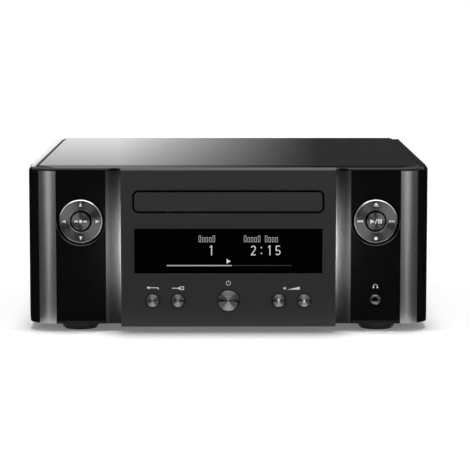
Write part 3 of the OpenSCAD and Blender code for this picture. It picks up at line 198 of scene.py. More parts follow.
def shaded(rgba, factor):
    """A colour made lighter or darker by a factor."""
    return tuple(min(1.0, c * factor) for c in rgba[:3]) + (1.0,)


def colour(name, description, hex_text):
    """A colour that a user can change."""
    return FloatVectorProperty(
        name=name, description=description, subtype="COLOR", size=4, min=0, max=1, default=linear(hex_text))


def length(name, description, millimetres):
    """A length that a user can change, given in millimetres."""
    return FloatProperty(
        name=name, description=description, subtype="DISTANCE", unit="LENGTH", min=0,
        default=millimetres * MM)


def angle(name, description, degrees, **limits):
    """An angle that a user can change, given in degrees."""
    return FloatProperty(
        name=name, description=description, subtype="ANGLE", default=math.radians(degrees), **limits)


class ReceiverFinish(bpy.types.PropertyGroup):
    """Colours of the receiver's surfaces."""

    panel: colour("Centre panel", "Anodised centre panel", "#414143")
    drawer: colour("Drawer front", "Anodised front of the disc drawer", "#434345")
    key: colour("Keys", "Spun faces of the panel keys", "#e0e0e2")
    ring: colour("Control rings", "Spun faces of the control rings and their centre keys", "#b0b1b2")
    cut: colour("Cut edges", "Bare metal of the control rings' cut edges", "#e8e8ea")
    lacquer: colour("Lacquer", "Satin metallic lacquer on the bezel", "#b0b1b3")
    channel: colour("Channel", "Matt lacquer in the bezel's channels", "#222222")
    gloss: colour("Gloss black", "Acrylic parts, side panels and the bezel's outer edges", "#101011")
    window: colour("Window", "Smoked display window", "#030303")
    plastic: colour("Moulded black", "Feet, sockets and disc tray", "#161617")
    steel: colour("Painted steel", "Chassis, rear panel, screws and traverse", "#1b1b1c")
    ink: colour("Ink", "Printed marks", "#f6f6f4")
    display_light: colour("Display light", "Lit figures behind the window", "#eef4f6")
    guide_light: colour("Guide light", "Light that leaves the light guides", "#ffffff")


class ReceiverSize(bpy.types.PropertyGroup):
    """Sizes of the printed and lit details."""

    ink_height: length("Ink height", "How far printed marks stand off their surface", 0.03)
    ink_root: length("Ink root", "How far printed marks reach into their surface", 0.05)
    figure_height: length("Figure height", "Height of the lit figures", FIGURE_HEIGHT)
    guide_spread: length("Guide spread", "Half-height of the brightest stretch of a light guide", 18.5)


class ReceiverStage(bpy.types.PropertyGroup):
    """Camera, lamps and floor."""

    camera_place: FloatVectorProperty(
        name="Camera place", description="Where the camera stands", subtype="TRANSLATION", unit="LENGTH",
        default=(0.0, -1.6545, 0.244))
    camera_turn: FloatVectorProperty(
        name="Camera turn", description="How the camera is turned", subtype="EULER",
        default=(math.radians(83.354), 0.0, math.radians(-0.1756)))
    lens: FloatProperty(
        name="Lens", description="Focal length on a 36 mm sensor", unit="CAMERA", min=1, default=167.6)
    floor_size: length("Floor size", "Width of the floor", 40000.0)
    sky: FloatProperty(name="Sky", description="Even light from all round", min=0, default=0.42)
    lamp: FloatProperty(name="Lamp", description="Strength of the lamp and the softbox", min=0, default=2.0)
    lamp_spread: angle("Lamp spread", "How soft the overhead lamp is", 16.0, min=0)
    softbox_spread: angle("Softbox spread", "How wide the overhead softbox is in reflections", 70.0, min=0)
    lamp_tilt: angle("Lamp tilt", "How far behind the receiver the lamp and the softbox stand", 6.5)


def add_node(tree, kind, settings=None, links=None):
    """Adds a shader node with its settings and links, where a node stands for its first output."""
    node = tree.nodes.new("ShaderNode" + kind)
    for key, value in (settings or {}).items():
        if key in node.bl_rna.properties.keys():
            setattr(node, key, value)
        else:
            node.inputs[key].default_value = value
    for key, source in (links or {}).items():
        output = source.outputs[0] if isinstance(source, bpy.types.Node) else source
        tree.links.new(output, node.inputs[key])
    return node


def object_axes(tree):
    """X, Y and Z of a place on a piece, in metres."""
    place = add_node(tree, "TexCoord")
    return add_node(tree, "SeparateXYZ", {}, {"Vector": place.outputs["Object"]}).outputs


def between(low, high):
    """Settings of a Math node that gives 1 between two values and 0 elsewhere."""
    return {"operation": "COMPARE", 1: (low + high) / 2, 2: (high - low) / 2}


def lay_over(material, mask, coats):
    """Lays colours and numbers over what the shader's sockets hold, where a mask is 1."""
    tree = material.node_tree
    for socket, coat in coats.items():
        held = tree.nodes["Principled BSDF"].inputs[socket]
        kind, under, over, result = ("RGBA", 6, 7, 2) if held.type == "RGBA" else ("FLOAT", 2, 3, 0)
        settings = {"data_type": kind}
        links = {0: mask}
        before = held.links[0].from_socket if held.is_linked else held.default_value
        for key, value in ((under, before), (over, coat)):
            target = links if isinstance(value, bpy.types.NodeSocket) else settings
            target[key] = value
        mixed = add_node(tree, "Mix", settings, links)
        tree.links.new(mixed.outputs[result], held)


def surface(name, rgba, sockets, rough, grain_mm, relief_mm, tone, stretch=(1, 1, 1)):
    """A material whose colour, roughness and relief follow one grain of a real size in millimetres."""
    material = bpy.data.materials.new(name)
    material.use_nodes = True
    tree = material.node_tree
    shader = tree.nodes["Principled BSDF"]
    for socket, value in sockets.items():
        shader.inputs[socket].default_value = value
    place = add_node(tree, "TexCoord")
    spread = add_node(tree, "Mapping", {"Scale": stretch}, {"Vector": place.outputs["Object"]})
    grain = add_node(
        tree, "TexNoise", {"Scale": 1 / (grain_mm * MM), "Detail": 3.0, "Roughness": 0.6},
        {"Vector": spread})
    mixed = add_node(
        tree, "Mix", {"data_type": "RGBA", 6: shaded(rgba, 1 - tone), 7: shaded(rgba, 1 + tone)},
        {0: grain})
    gloss = add_node(tree, "MapRange", {"To Min": rough[0], "To Max": rough[1]}, {"Value": grain})
    relief = add_node(tree, "Bump", {"Strength": 1.0, "Distance": relief_mm * MM}, {"Height": grain})
    tree.links.new(mixed.outputs[2], shader.inputs["Base Color"])
    tree.links.new(gloss.outputs[0], shader.inputs["Roughness"])
    tree.links.new(relief.outputs[0], shader.inputs["Normal"])
    return material


def blasted_aluminium(name, rgba):
    """Aluminium, bead-blasted and anodised black: an even, fine, faintly sparkling grey sheen."""
    # Blasting pits of about 0.1 mm are drawn 0.7 mm across, so that they show.
    return surface(name, rgba, {"Metallic": 0.5}, rough=(0.36, 0.46), grain_mm=0.7, relief_mm=0.004, tone=0.1)


def paint_slot_shade(material, depth, half_width, low, high):
    """Paints black what lies deeper than the face in an upright oblong: painted shade on the flanks of the
    drawer's slot.
    """
    tree = material.node_tree
    axes = object_axes(tree)
    side = add_node(tree, "Math", {"operation": "ABSOLUTE"}, {0: axes["X"]})
    across = add_node(tree, "Math", {"operation": "LESS_THAN", 1: half_width}, {0: side})
    upward = add_node(tree, "Math", between(low, high), {0: axes["Z"]})
    both = add_node(tree, "Math", {"operation": "MULTIPLY"}, {0: across, 1: upward})
    deep = add_node(tree, "Math", {"operation": "GREATER_THAN", 1: depth}, {0: axes["Y"]})
    inside = add_node(tree, "Math", {"operation": "MULTIPLY"}, {0: both, 1: deep})
    lay_over(material, inside, {"Base Color": linear(FLANK_SHADE_BLACK)})


def spun_aluminium(name, rgba, width_mm, swirl=0.0):
    """Aluminium, faced on a lathe and anodised: tool marks throw bright wedges, turned by any swirl."""
    material = surface(
        name, rgba, {"Metallic": 1.0, "Anisotropic": 0.97, "Anisotropic Rotation": 0.25 + swirl / 360},
        rough=(0.21, 0.29), grain_mm=0.8, relief_mm=0.002, tone=0.06)
    tree = material.node_tree
    shader = tree.nodes["Principled BSDF"]
    round_axis = add_node(tree, "Tangent", {"direction_type": "RADIAL", "axis": "Y"})
    tree.links.new(round_axis.outputs[0], shader.inputs["Tangent"])
    # Tool marks of about 0.05 mm are drawn every 0.5 mm, so that they show.
    place = add_node(tree, "TexCoord")
    centred = add_node(
        tree, "Mapping", {"Location": (-width_mm / 2,) * 3, "Scale": (width_mm,) * 3},
        {"Vector": place.outputs["Generated"]})
    marks = add_node(
        tree, "TexWave",
        {"wave_type": "RINGS", "rings_direction": "Y", "Scale": 0.6, "Distortion": 0.4, "Detail": 1.0},
        {"Vector": centred})
    relief = add_node(
        tree, "Bump", {"Strength": 1.0, "Distance": 0.003 * MM}, {"Height": marks.outputs["Fac"]})
    tree.links.new(relief.outputs[0], shader.inputs["Normal"])
    return material


def cut_edges(material, rgba, front_y, back_y):
    """Bares the metal between two depths, diamond-cut and bright as a line of light, and paints the flanks
    behind it black: painted shade in the gaps round the rings and keys.
    """
    tree = material.node_tree
    depth = object_axes(tree)["Y"]
    bare = add_node(tree, "Math", between(front_y, back_y), {0: depth})
    lay_over(material, bare, {"Base Color": rgba})
    shaded_flank = add_node(tree, "Math", {"operation": "GREATER_THAN", 1: back_y}, {0: depth})
    lay_over(material, shaded_flank, {"Base Color": linear(FLANK_SHADE_BLACK)})


def moulded_abs(name, rgba):
    """ABS, injection moulded in a spark-eroded tool: a fine matt leather of the mould's own texture."""
    # Spark texture of about 0.15 mm is drawn 0.6 mm across, so that it shows.
    return surface(name, rgba, {"IOR": 1.53}, rough=(0.42, 0.55), grain_mm=0.6, relief_mm=0.02, tone=0.15)


def lacquered_sides(name, rgba):
    """ABS, moulded and sprayed gloss black: a mirror with the faint ripple of sprayed lacquer."""
    return surface(name, rgba, {"IOR": 1.5}, rough=(0.03, 0.06), grain_mm=6.0, relief_mm=0.002, tone=0.1)


def lacquered_abs(name, satin, gloss, channel):
    """ABS, moulded and sprayed in three masks: satin metal cheeks, matt channels painted paler towards their
    outer rim as painted light, gloss edges and wells.
    """
    material = surface(
        name, satin, {"Metallic": 0.9, "Specular IOR Level": 0.15},
        rough=(0.27, 0.31), grain_mm=0.5, relief_mm=0.0004, tone=0.03)
    tree = material.node_tree
    axes = object_axes(tree)
    side = add_node(tree, "Math", {"operation": "ABSOLUTE"}, {0: axes["X"]})
    inside = add_node(tree, "Math", {"operation": "LESS_THAN", 1: CHANNEL_X * MM}, {0: side})
    # The channel is painted paler towards its outer rim: painted light where the guides' glow falls.
    rim_light_share = add_node(
        tree, "MapRange", {"From Min": PAINTED_LIGHT_START_X * MM, "From Max": CHANNEL_X * MM}, {"Value": side})
    painted_rim_light = add_node(
        tree, "Mix", {"data_type": "RGBA", 6: channel, 7: shaded(channel, RIM_PAINTED_LIGHT_FACTOR)}, {0: rim_light_share})
    lay_over(material, inside, {"Base Color": painted_rim_light.outputs[2], "Roughness": 0.35, "Metallic": 0.0})
    outside = add_node(tree, "Math", {"operation": "GREATER_THAN", 1: EDGE_X * MM}, {0: side})
    above = add_node(tree, "Math", {"operation": "GREATER_THAN", 1: CROWN_Z * MM}, {0: axes["Z"]})
    edges = add_node(tree, "Math", {"operation": "MAXIMUM"}, {0: outside, 1: above})
    wells = add_node(tree, "Math", between(CHANNEL_X * MM, CHEEK_X * MM), {0: side})
    masked = add_node(tree, "Math", {"operation": "MAXIMUM"}, {0: edges, 1: wells})
    lay_over(material, masked, {"Base Color": gloss, "Roughness": 0.06, "Metallic": 0.0})
    return material


def cast_acrylic(name, rgba, specular):
    """Acrylic, cast and polished: a deep mirror black with a trace of cleaning haze."""
    return surface(
        name, rgba, {"IOR": 1.49, "Specular IOR Level": specular},
        rough=(0.02, 0.05), grain_mm=12.0, relief_mm=0.001, tone=0.2)


def lit_acrylic(name, rgba, height, spread):
    """Acrylic, moulded clear and lit from behind: brightest at its exit edge, fading to its two ends."""
    material = surface(
        name, linear("#f3f3f3"), {"IOR": 1.49, "Emission Color": rgba},
        rough=(0.1, 0.2), grain_mm=2.0, relief_mm=0.002, tone=0.05)
    tree = material.node_tree
    away = add_node(tree, "Math", {"operation": "SUBTRACT", 1: height}, {0: object_axes(tree)["Z"]})
    share = add_node(tree, "Math", {"operation": "DIVIDE", 1: spread * math.sqrt(2)}, {0: away})
    square = add_node(tree, "Math", {"operation": "MULTIPLY"}, {0: share, 1: share})
    minus = add_node(tree, "Math", {"operation": "MULTIPLY", 1: -1.0}, {0: square})
    bell = add_node(tree, "Math", {"operation": "EXPONENT"}, {0: minus})
    shape = add_node(tree, "NewGeometry")
    facing = add_node(tree, "SeparateXYZ", {}, {"Vector": shape.outputs["Normal"]})
    leaving = add_node(
        tree, "MapRange", {"To Min": GUIDE_SIDE_SHARE * GUIDE_STRENGTH, "To Max": GUIDE_STRENGTH},
        {"Value": facing.outputs["Y"]})
    light = add_node(tree, "Math", {"operation": "MULTIPLY"}, {0: bell, 1: leaving})
    tree.links.new(light.outputs[0], tree.nodes["Principled BSDF"].inputs["Emission Strength"])
    return material


def powder_coat(name, rgba):
    """Sheet steel, folded and powder coated: the soft orange peel of baked paint."""
    return surface(name, rgba, {"IOR": 1.5}, rough=(0.4, 0.5), grain_mm=1.2, relief_mm=0.03, tone=0.1)


def zinc_steel(name):
    """Sheet steel, hot-dip galvanised: a dull grey with pale zinc spangles of about 7 mm."""
    material = surface(
        name, linear("#87898c"), {"Metallic": 1.0},
        rough=(0.32, 0.5), grain_mm=6.0, relief_mm=0.004, tone=0.0)
    tree = material.node_tree
    place = add_node(tree, "TexCoord")
    spangle = add_node(
        tree, "TexVoronoi", {"Scale": 1 / (7 * MM), "Randomness": 1.0},
        {"Vector": place.outputs["Object"]})
    lay_over(material, spangle.outputs["Color"], {"Base Color": linear("#b4b6b8")})
    return material


def extruded_aluminium(name):
    """Aluminium, extruded and left plain: fine die lines along its length."""
    # Die lines of about 0.1 mm are drawn 0.5 mm apart, so that they show.
    return surface(
        name, linear("#b9babc"), {"Metallic": 1.0},
        rough=(0.25, 0.42), grain_mm=0.5, relief_mm=0.01, tone=0.12, stretch=(1, 0.02, 1))


def solder_mask(name):
    """Glass-epoxy laminate, screen coated with green solder mask: a smooth green with a woven ghost."""
    return surface(
        name, linear("#14502f"), {"IOR": 1.55}, rough=(0.28, 0.4), grain_mm=0.8, relief_mm=0.01, tone=0.2)


def moulded_acetal(name):
    """Acetal, injection moulded: a waxy off-white."""
    return surface(
        name, linear("#d9d7cd"), {"IOR": 1.48, "Subsurface Weight": 0.1},
        rough=(0.34, 0.44), grain_mm=1.0, relief_mm=0.006, tone=0.04)


def plated_metal(name, rgba):
    """Brass, turned and plated: a bright smooth metal with faint lathe rings."""
    return surface(
        name, rgba, {"Metallic": 1.0},
        rough=(0.14, 0.24), grain_mm=0.4, relief_mm=0.003, tone=0.06, stretch=(0.1, 1, 0.1))


def vent_shade_screen(name):
    """Polyester, woven open and dyed black: a dull cloth inside the rear vents that keeps light out, a dark
    sheet that stands in for the shade inside.
    """
    return surface(
        name, linear("#0c0c0c"), {"IOR": 1.5}, rough=(0.8, 0.95), grain_mm=0.5, relief_mm=0.05, tone=0.4)


def moulded_rubber(name):
    """Natural rubber, compression moulded: a dry, dusty black."""
    return surface(
        name, linear("#191919"), {"IOR": 1.52}, rough=(0.75, 0.9), grain_mm=0.5, relief_mm=0.03, tone=0.2)


def sintered_ferrite(name):
    """Ferrite, pressed and sintered: a hard, dark, faintly glittering ceramic."""
    return surface(
        name, linear("#2b2b2d"), {"IOR": 2.0}, rough=(0.35, 0.6), grain_mm=0.5, relief_mm=0.02, tone=0.3)


def screen_ink(name, rgba):
    """Ink, screen printed: flat and chalky, a shade thinner here and there; in black it also paints shade in
    the gaps round the keys and the drawer.
    """
    return surface(name, rgba, {"IOR": 1.5}, rough=(0.55, 0.7), grain_mm=0.4, relief_mm=0.002, tone=0.06)


def lit_figure(name, rgba, strength):
    """Fluorescent figure, seen through the window: an even light with a faint cell grain."""
    return surface(
        name, shaded(rgba, 0.02), {"Emission Color": rgba, "Emission Strength": strength},
        rough=(0.4, 0.5), grain_mm=0.4, relief_mm=0.001, tone=0.05)


def make_piece(name, builder, material, body="cabinet"):
    """Turns built geometry into a piece that rides on a body, smooth except at its edges."""
    bmesh.ops.recalc_face_normals(builder, faces=builder.faces)
    mesh = bpy.data.meshes.new(name)
    builder.to_mesh(mesh)
    builder.free()
    mesh.materials.append(material)
    mesh.shade_smooth()
    mesh.set_sharp_from_angle(angle=math.radians(35))
    piece = bpy.data.objects.new(name, mesh)
    bpy.context.scene.collection.objects.link(piece)
    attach(piece, body)


def dress(nodes, material):
    """Gives CAD nodes a finish."""
    for name in nodes:
        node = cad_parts[name]
        if not node.material_slots:
            node.data.materials.append(material)
        for slot in node.material_slots:
            slot.material = material


def round_edges(node, radius_mm):
    """Rounds the sharp edges of a CAD node for the eye, without touching its mesh."""
    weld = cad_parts[node].modifiers.new("weld", "WELD")
    weld.merge_threshold = 0.001 * MM
    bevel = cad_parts[node].modifiers.new("rounded_edges", "BEVEL")
    bevel.width = radius_mm * MM
    bevel.segments = 3
    bevel.limit_method = "ANGLE"
    bevel.angle_limit = math.radians(40)
    bevel.harden_normals = True


def middle(node):
    """Middle of a CAD node's box, across and up."""
    low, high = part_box(node)
    return ((Vector(low) + Vector(high)) / 2).xz


def front(node):
    """Y of a CAD node's front."""
    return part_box(node)[0][1]


def width(node):
    """Width of a CAD node in millimetres."""
    low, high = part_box(node)
    return (high[0] - low[0]) / MM


def arc(centre, radius, start, end, steps=24):
    """Points of an arc between two angles in degrees."""
    angles = [math.radians(start + (end - start) * i / steps) for i in range(steps + 1)]
    return [(centre[0] + radius * math.cos(a), centre[1] + radius * math.sin(a)) for a in angles]


def circle(centre, radius, steps=32):
    """Points of a full circle."""
    return arc(centre, radius, 0, 360, steps)[:-1]


def rectangle(low, high):
    """Corners of a rectangle."""
    return [low, (high[0], low[1]), high, (low[0], high[1])]


def rounded(half_width, half_height, radius):
    """Points of a rectangle with rounded corners about its own middle."""
    corners = ((1, 1, 0), (-1, 1, 90), (-1, -1, 180), (1, -1, 270))
    return [point for x, y, start in corners for point in arc(
        (x * (half_width - radius), y * (half_height - radius)), radius, start, start + 90, 8)]


def fill(points):
    """A filled outline."""
    return ("fill", points, 0)


def bar(low, high):
    """A filled rectangle."""
    return fill(rectangle(low, high))


def line(points, stroke):
    """An open line of a given width."""
    return ("line", points, stroke)


def loop(points, stroke):
    """A closed line of a given width."""
    return ("loop", points, stroke)


def turned(shapes, degrees):
    """Shapes turned about their own middle."""
    c = math.cos(math.radians(degrees))
    s = math.sin(math.radians(degrees))
    return [(kind, [(x * c - y * s, x * s + y * c) for x, y in points], stroke)
            for kind, points, stroke in shapes]


def scaled(shapes, factor):
    """Shapes made larger or smaller about their own middle."""
    return [(kind, [(x * factor, y * factor) for x, y in points], stroke * factor)
            for kind, points, stroke in shapes]


def cells(pattern):
    """A row of empty character cells, tall (t) or short (s), with gaps."""
    return [
        loop(rectangle((CELL_PITCH * i, 0.0), (CELL_PITCH * i + CELL_WIDTH, CELL_HEIGHTS[kind])), CELL_STROKE)
        for i, kind in enumerate(pattern) if kind in CELL_HEIGHTS]


def band_edges(points, stroke, closed):
    """Left and right edges of a line of a given width, mitred at its corners."""
    pairs = zip(points, points[1:] + points[:1])
    ways = [Vector((b[0] - a[0], b[1] - a[1])).normalized() for a, b in pairs]
    if not closed:
        ways[-1] = ways[-2]
    left, right = [], []
    for i, (x, y) in enumerate(points):
        before = ways[i - 1] if closed or i > 0 else ways[0]
        way = (before + ways[i]).normalized()
        reach = stroke / 2 / max(LEAST_MITRE, way.dot(before))
        left.append((x - way.y * reach, y + way.x * reach))
        right.append((x + way.y * reach, y - way.x * reach))
    return left, right


def add_slab(builder, near, far):
    """Closes the near and far rows of a filled outline to a thin solid."""
    count = len(near)
    builder.faces.new(near)
    builder.faces.new(far[::-1])
    for i in range(count):
        j = (i + 1) % count
        builder.faces.new((near[j], near[i], far[i], far[j]))


def add_band(builder, left, left_far, right, right_far, closed):
    """Closes the near and far rows of a line's two edges to a thin solid."""
    count = len(left)
    for i in range(count if closed else count - 1):
        j = (i + 1) % count
        builder.faces.new((left[i], left[j], right[j], right[i]))
        builder.faces.new((left_far[j], left_far[i], right_far[i], right_far[j]))
        builder.faces.new((left[j], left[i], left_far[i], left_far[j]))
        builder.faces.new((right[i], right[j], right_far[j], right_far[i]))
    if not closed:
        for i in (0, count - 1):
            builder.faces.new((left[i], right[i], right_far[i], left_far[i]))


def mark(name, shapes, at, face, material, body="cabinet", facing=-1):
    """A printed or lit mark, or a line of painted shade, of flat shapes in millimetres, on an upright face
    that looks along Y.
    """
    sizes = bpy.context.scene.receiver_size
    depths = (face + facing * sizes.ink_height, face - facing * sizes.ink_root)
    builder = bmesh.new()
    for kind, points, stroke in shapes:
        closed = kind == "loop"
        outlines = (points,) if kind == "fill" else band_edges(points, stroke, closed)
        rows = [
            [builder.verts.new((at[0] - facing * u * MM, y, at[1] + v * MM)) for u, v in outline]
            for outline in outlines for y in depths]
        if kind == "fill":
            add_slab(builder, *rows)
        else:
            add_band(builder, *rows, closed)
    make_piece(name, builder, material, body)


def add_lathe(builder, profile, at, steps, face=0.0):
    """Revolves a closed profile of radius and depth behind a face, in millimetres, about an axis along Y."""
    rings = []
    for radius, depth in profile:
        y = (face + depth) * MM
        if radius == 0:
            rings.append([builder.verts.new((at[0], y, at[1]))])
            continue
        rings.append([builder.verts.new((x, y, z)) for x, z in circle(at, radius * MM, steps)])
    for k, a in enumerate(rings):
        b = rings[(k + 1) % len(rings)]
        if len(a) == 1 and len(b) == 1:
            continue
        for i in range(steps):
            j = (i + 1) % steps
            if len(a) == 1:
                builder.faces.new((a[0], b[j], b[i]))
            elif len(b) == 1:
                builder.faces.new((a[i], a[j], b[0]))
            else:
                builder.faces.new((a[i], a[j], b[j], b[i]))


def add_block(builder, block, edge, x=0.0):
    """A block between two corners in millimetres, moved sideways by x, with its edges rounded off."""
    made = bmesh.ops.create_cube(builder, size=1.0)
    size = [(b - a) * MM for a, b in zip(*block)]
    mid = [(a + b) / 2 * MM for a, b in zip(*block)]
    mid[0] += x * MM
    for vert in made["verts"]:
        vert.co = Vector((vert.co[i] * size[i] + mid[i] for i in range(3)))
    edges = list({e for v in made["verts"] for e in v.link_edges})
    bmesh.ops.bevel(builder, geom=edges, offset=edge * MM, segments=2, affect="EDGES", profile=0.5)


# Printed icons, in millimetres about their own middle
TRIANGLE_UP = [fill([(-1.05, -1.3), (1.05, -1.3), (0.0, 1.4)])]
POWER_ICON = [line(arc((0, 0), 1.5, 125, 415), 0.34), line([(0, 0.5), (0, 2.0)], 0.34)]
RETURN_ICON = [
    line([(3.9, -1.0), (3.9, 0.35), (-2.5, 0.35)], 0.5),
    fill([(-4.1, 0.35), (-2.3, -0.8), (-2.3, 1.5)]),
]
INPUT_ICON = [
    line([(1.4, 1.0), (3.9, 1.0), (3.9, -1.0), (1.4, -1.0)], 0.5),
    line([(-4.1, 0), (0.6, 0)], 0.5),
    fill([(0.5, -0.95), (2.4, 0.0), (0.5, 0.95)]),
]
VOLUME_ICON = [
    fill([(-5.7, -0.45), (-4.9, -0.45), (-4.0, -1.1), (-4.0, 1.1), (-4.9, 0.45), (-5.7, 0.45)]),
    fill([(-2.8, -1.0), (5.7, -1.0), (5.7, 1.0)]),
]
PHONES_ICON = [
    line(arc((0, -0.3), 1.5, 0, 180), 0.32),
    bar((-1.8, -1.5), (-0.95, -0.2)),
    bar((0.95, -1.5), (1.8, -0.2)),
]
ENTER_ICON = [fill(circle((0, 0), 1.1)), bar((-4.2, -0.55), (-1.9, 0.55)), bar((1.9, -0.55), (4.2, 0.55))]
PLAY_PAUSE_ICON = [
    fill([(-4.0, -1.6), (-1.0, 0.0), (-4.0, 1.6)]),
    line([(-0.7, -1.6), (0.8, 1.6)], 0.6),
    bar((1.4, -1.5), (2.4, 1.5)),
    bar((3.0, -1.5), (4.0, 1.5)),
]
EJECT_ICON = [fill([(-1.6, -0.5), (1.6, -0.5), (0.0, 1.3)]), bar((-1.6, -1.3), (1.6, -0.8))]
STOP_ICON = [bar((-1.1, -1.1), (1.1, 1.1))]
SKIP_ICON = [
    fill([(-1.8, -0.85), (-0.2, 0.0), (-1.8, 0.85)]),
    fill([(-0.2, -0.85), (1.4, 0.0), (-0.2, 0.85)]),
    bar((1.4, -0.85), (1.8, 0.85)),
]
PLAY_ICON = [fill([(-1.4, -1.65), (1.5, 0.0), (-1.4, 1.65)])]
MINUS_ICON = [bar((-1.3, -0.25), (1.3, 0.25))]
PLUS_ICON = MINUS_ICON + [bar((-0.25, 0.25), (0.25, 1.3)), bar((-0.25, -1.3), (0.25, -0.25))]
AERIAL_ICON = [line([(0, -2.0), (0, 1.4)], 0.4), line([(-1.5, 1.8), (0, 0.2), (1.5, 1.8)], 0.4)]
NETWORK_ICON = [
    loop(rectangle((-0.8, 0.8), (0.8, 2.0)), 0.35),
    loop(rectangle((-2.4, -2.0), (-0.8, -0.8)), 0.35),
    loop(rectangle((0.8, -2.0), (2.4, -0.8)), 0.35),
    line([(0, 0.65), (0, 0.0)], 0.35),
    line([(-1.6, -0.65), (-1.6, 0.0), (1.6, 0.0), (1.6, -0.65)], 0.35),
]
LIGHT_ICON = [loop(circle((0, 0), 0.9, 20), 0.35)] + [
    line([(1.4 * math.cos(a), 1.4 * math.sin(a)), (2.1 * math.cos(a), 2.1 * math.sin(a))], 0.35)
    for a in [math.pi / 4 * i for i in range(8)]
]
WAVES_ICON = [fill(circle((0, -1.2), 0.5, 16))] + [
    line(arc((0, -1.2), radius, 45, 135, 12), 0.4) for radius in (1.6, 2.7)
]
SPEAKER_ICON = [
    loop(rectangle((-1.7, -2.4), (1.7, 2.4)), 0.35),
    loop(circle((0, -0.7), 1.0, 24), 0.35),
    fill(circle((0, 1.3), 0.45, 16)),
]
MAINS_ICON = [line([(0.25 * i - 3.0, 1.1 * math.sin(math.pi * i / 12)) for i in range(25)], 0.4)]
PHONO_FRAME = [loop(rectangle((-28.0, -11.0), (28.0, 11.0)), 0.35)]

# Lit figures, in millimetres from their lower left corner
FIGURES = {
    "1": [line([(0.5, 5.7), (1.8, 6.6), (1.8, 0.0)], FIGURE_STROKE)],
    "2": [line(arc((1.75, 5.0), 1.4, 165, -35, 16) + [(0.4, 0.4), (3.3, 0.4)], FIGURE_STROKE)],
    "5": [line(
        [(3.2, 6.5), (0.75, 6.5), (0.5, 3.8)] + arc((1.75, 2.05), 1.55, 125, -150, 18), FIGURE_STROKE)],
    ":": [bar((1.35, 1.0), (2.2, 1.85)), bar((1.35, 5.0), (2.2, 5.85))],
}

# Marks on the rear panel: name, icon, and place across and up
REAR_MARKS = (
    ("phono_frame", PHONO_FRAME, 40.0, PHONO_Z),
    ("line_in_mark", INPUT_ICON, 31.0, 43.0),
    ("subwoofer_mark", SPEAKER_ICON, 58.0, 43.0),
    ("network_mark", NETWORK_ICON, NETWORK_X, 33.0),
    ("optical_mark", LIGHT_ICON, OPTICAL_X, 33.0),
    ("radio_mark", AERIAL_ICON, RADIO_X, 73.5),
    ("wireless_left_mark", WAVES_ICON, -WIRELESS_X, 84.0),
    ("wireless_right_mark", WAVES_ICON, WIRELESS_X, 84.0),
    ("mains_mark", MAINS_ICON, MAINS_X, 44.0),
    ("speaker_left_mark", SPEAKER_ICON, -27.0, 48.0),
    ("speaker_right_mark", SPEAKER_ICON, -63.0, 48.0),
)


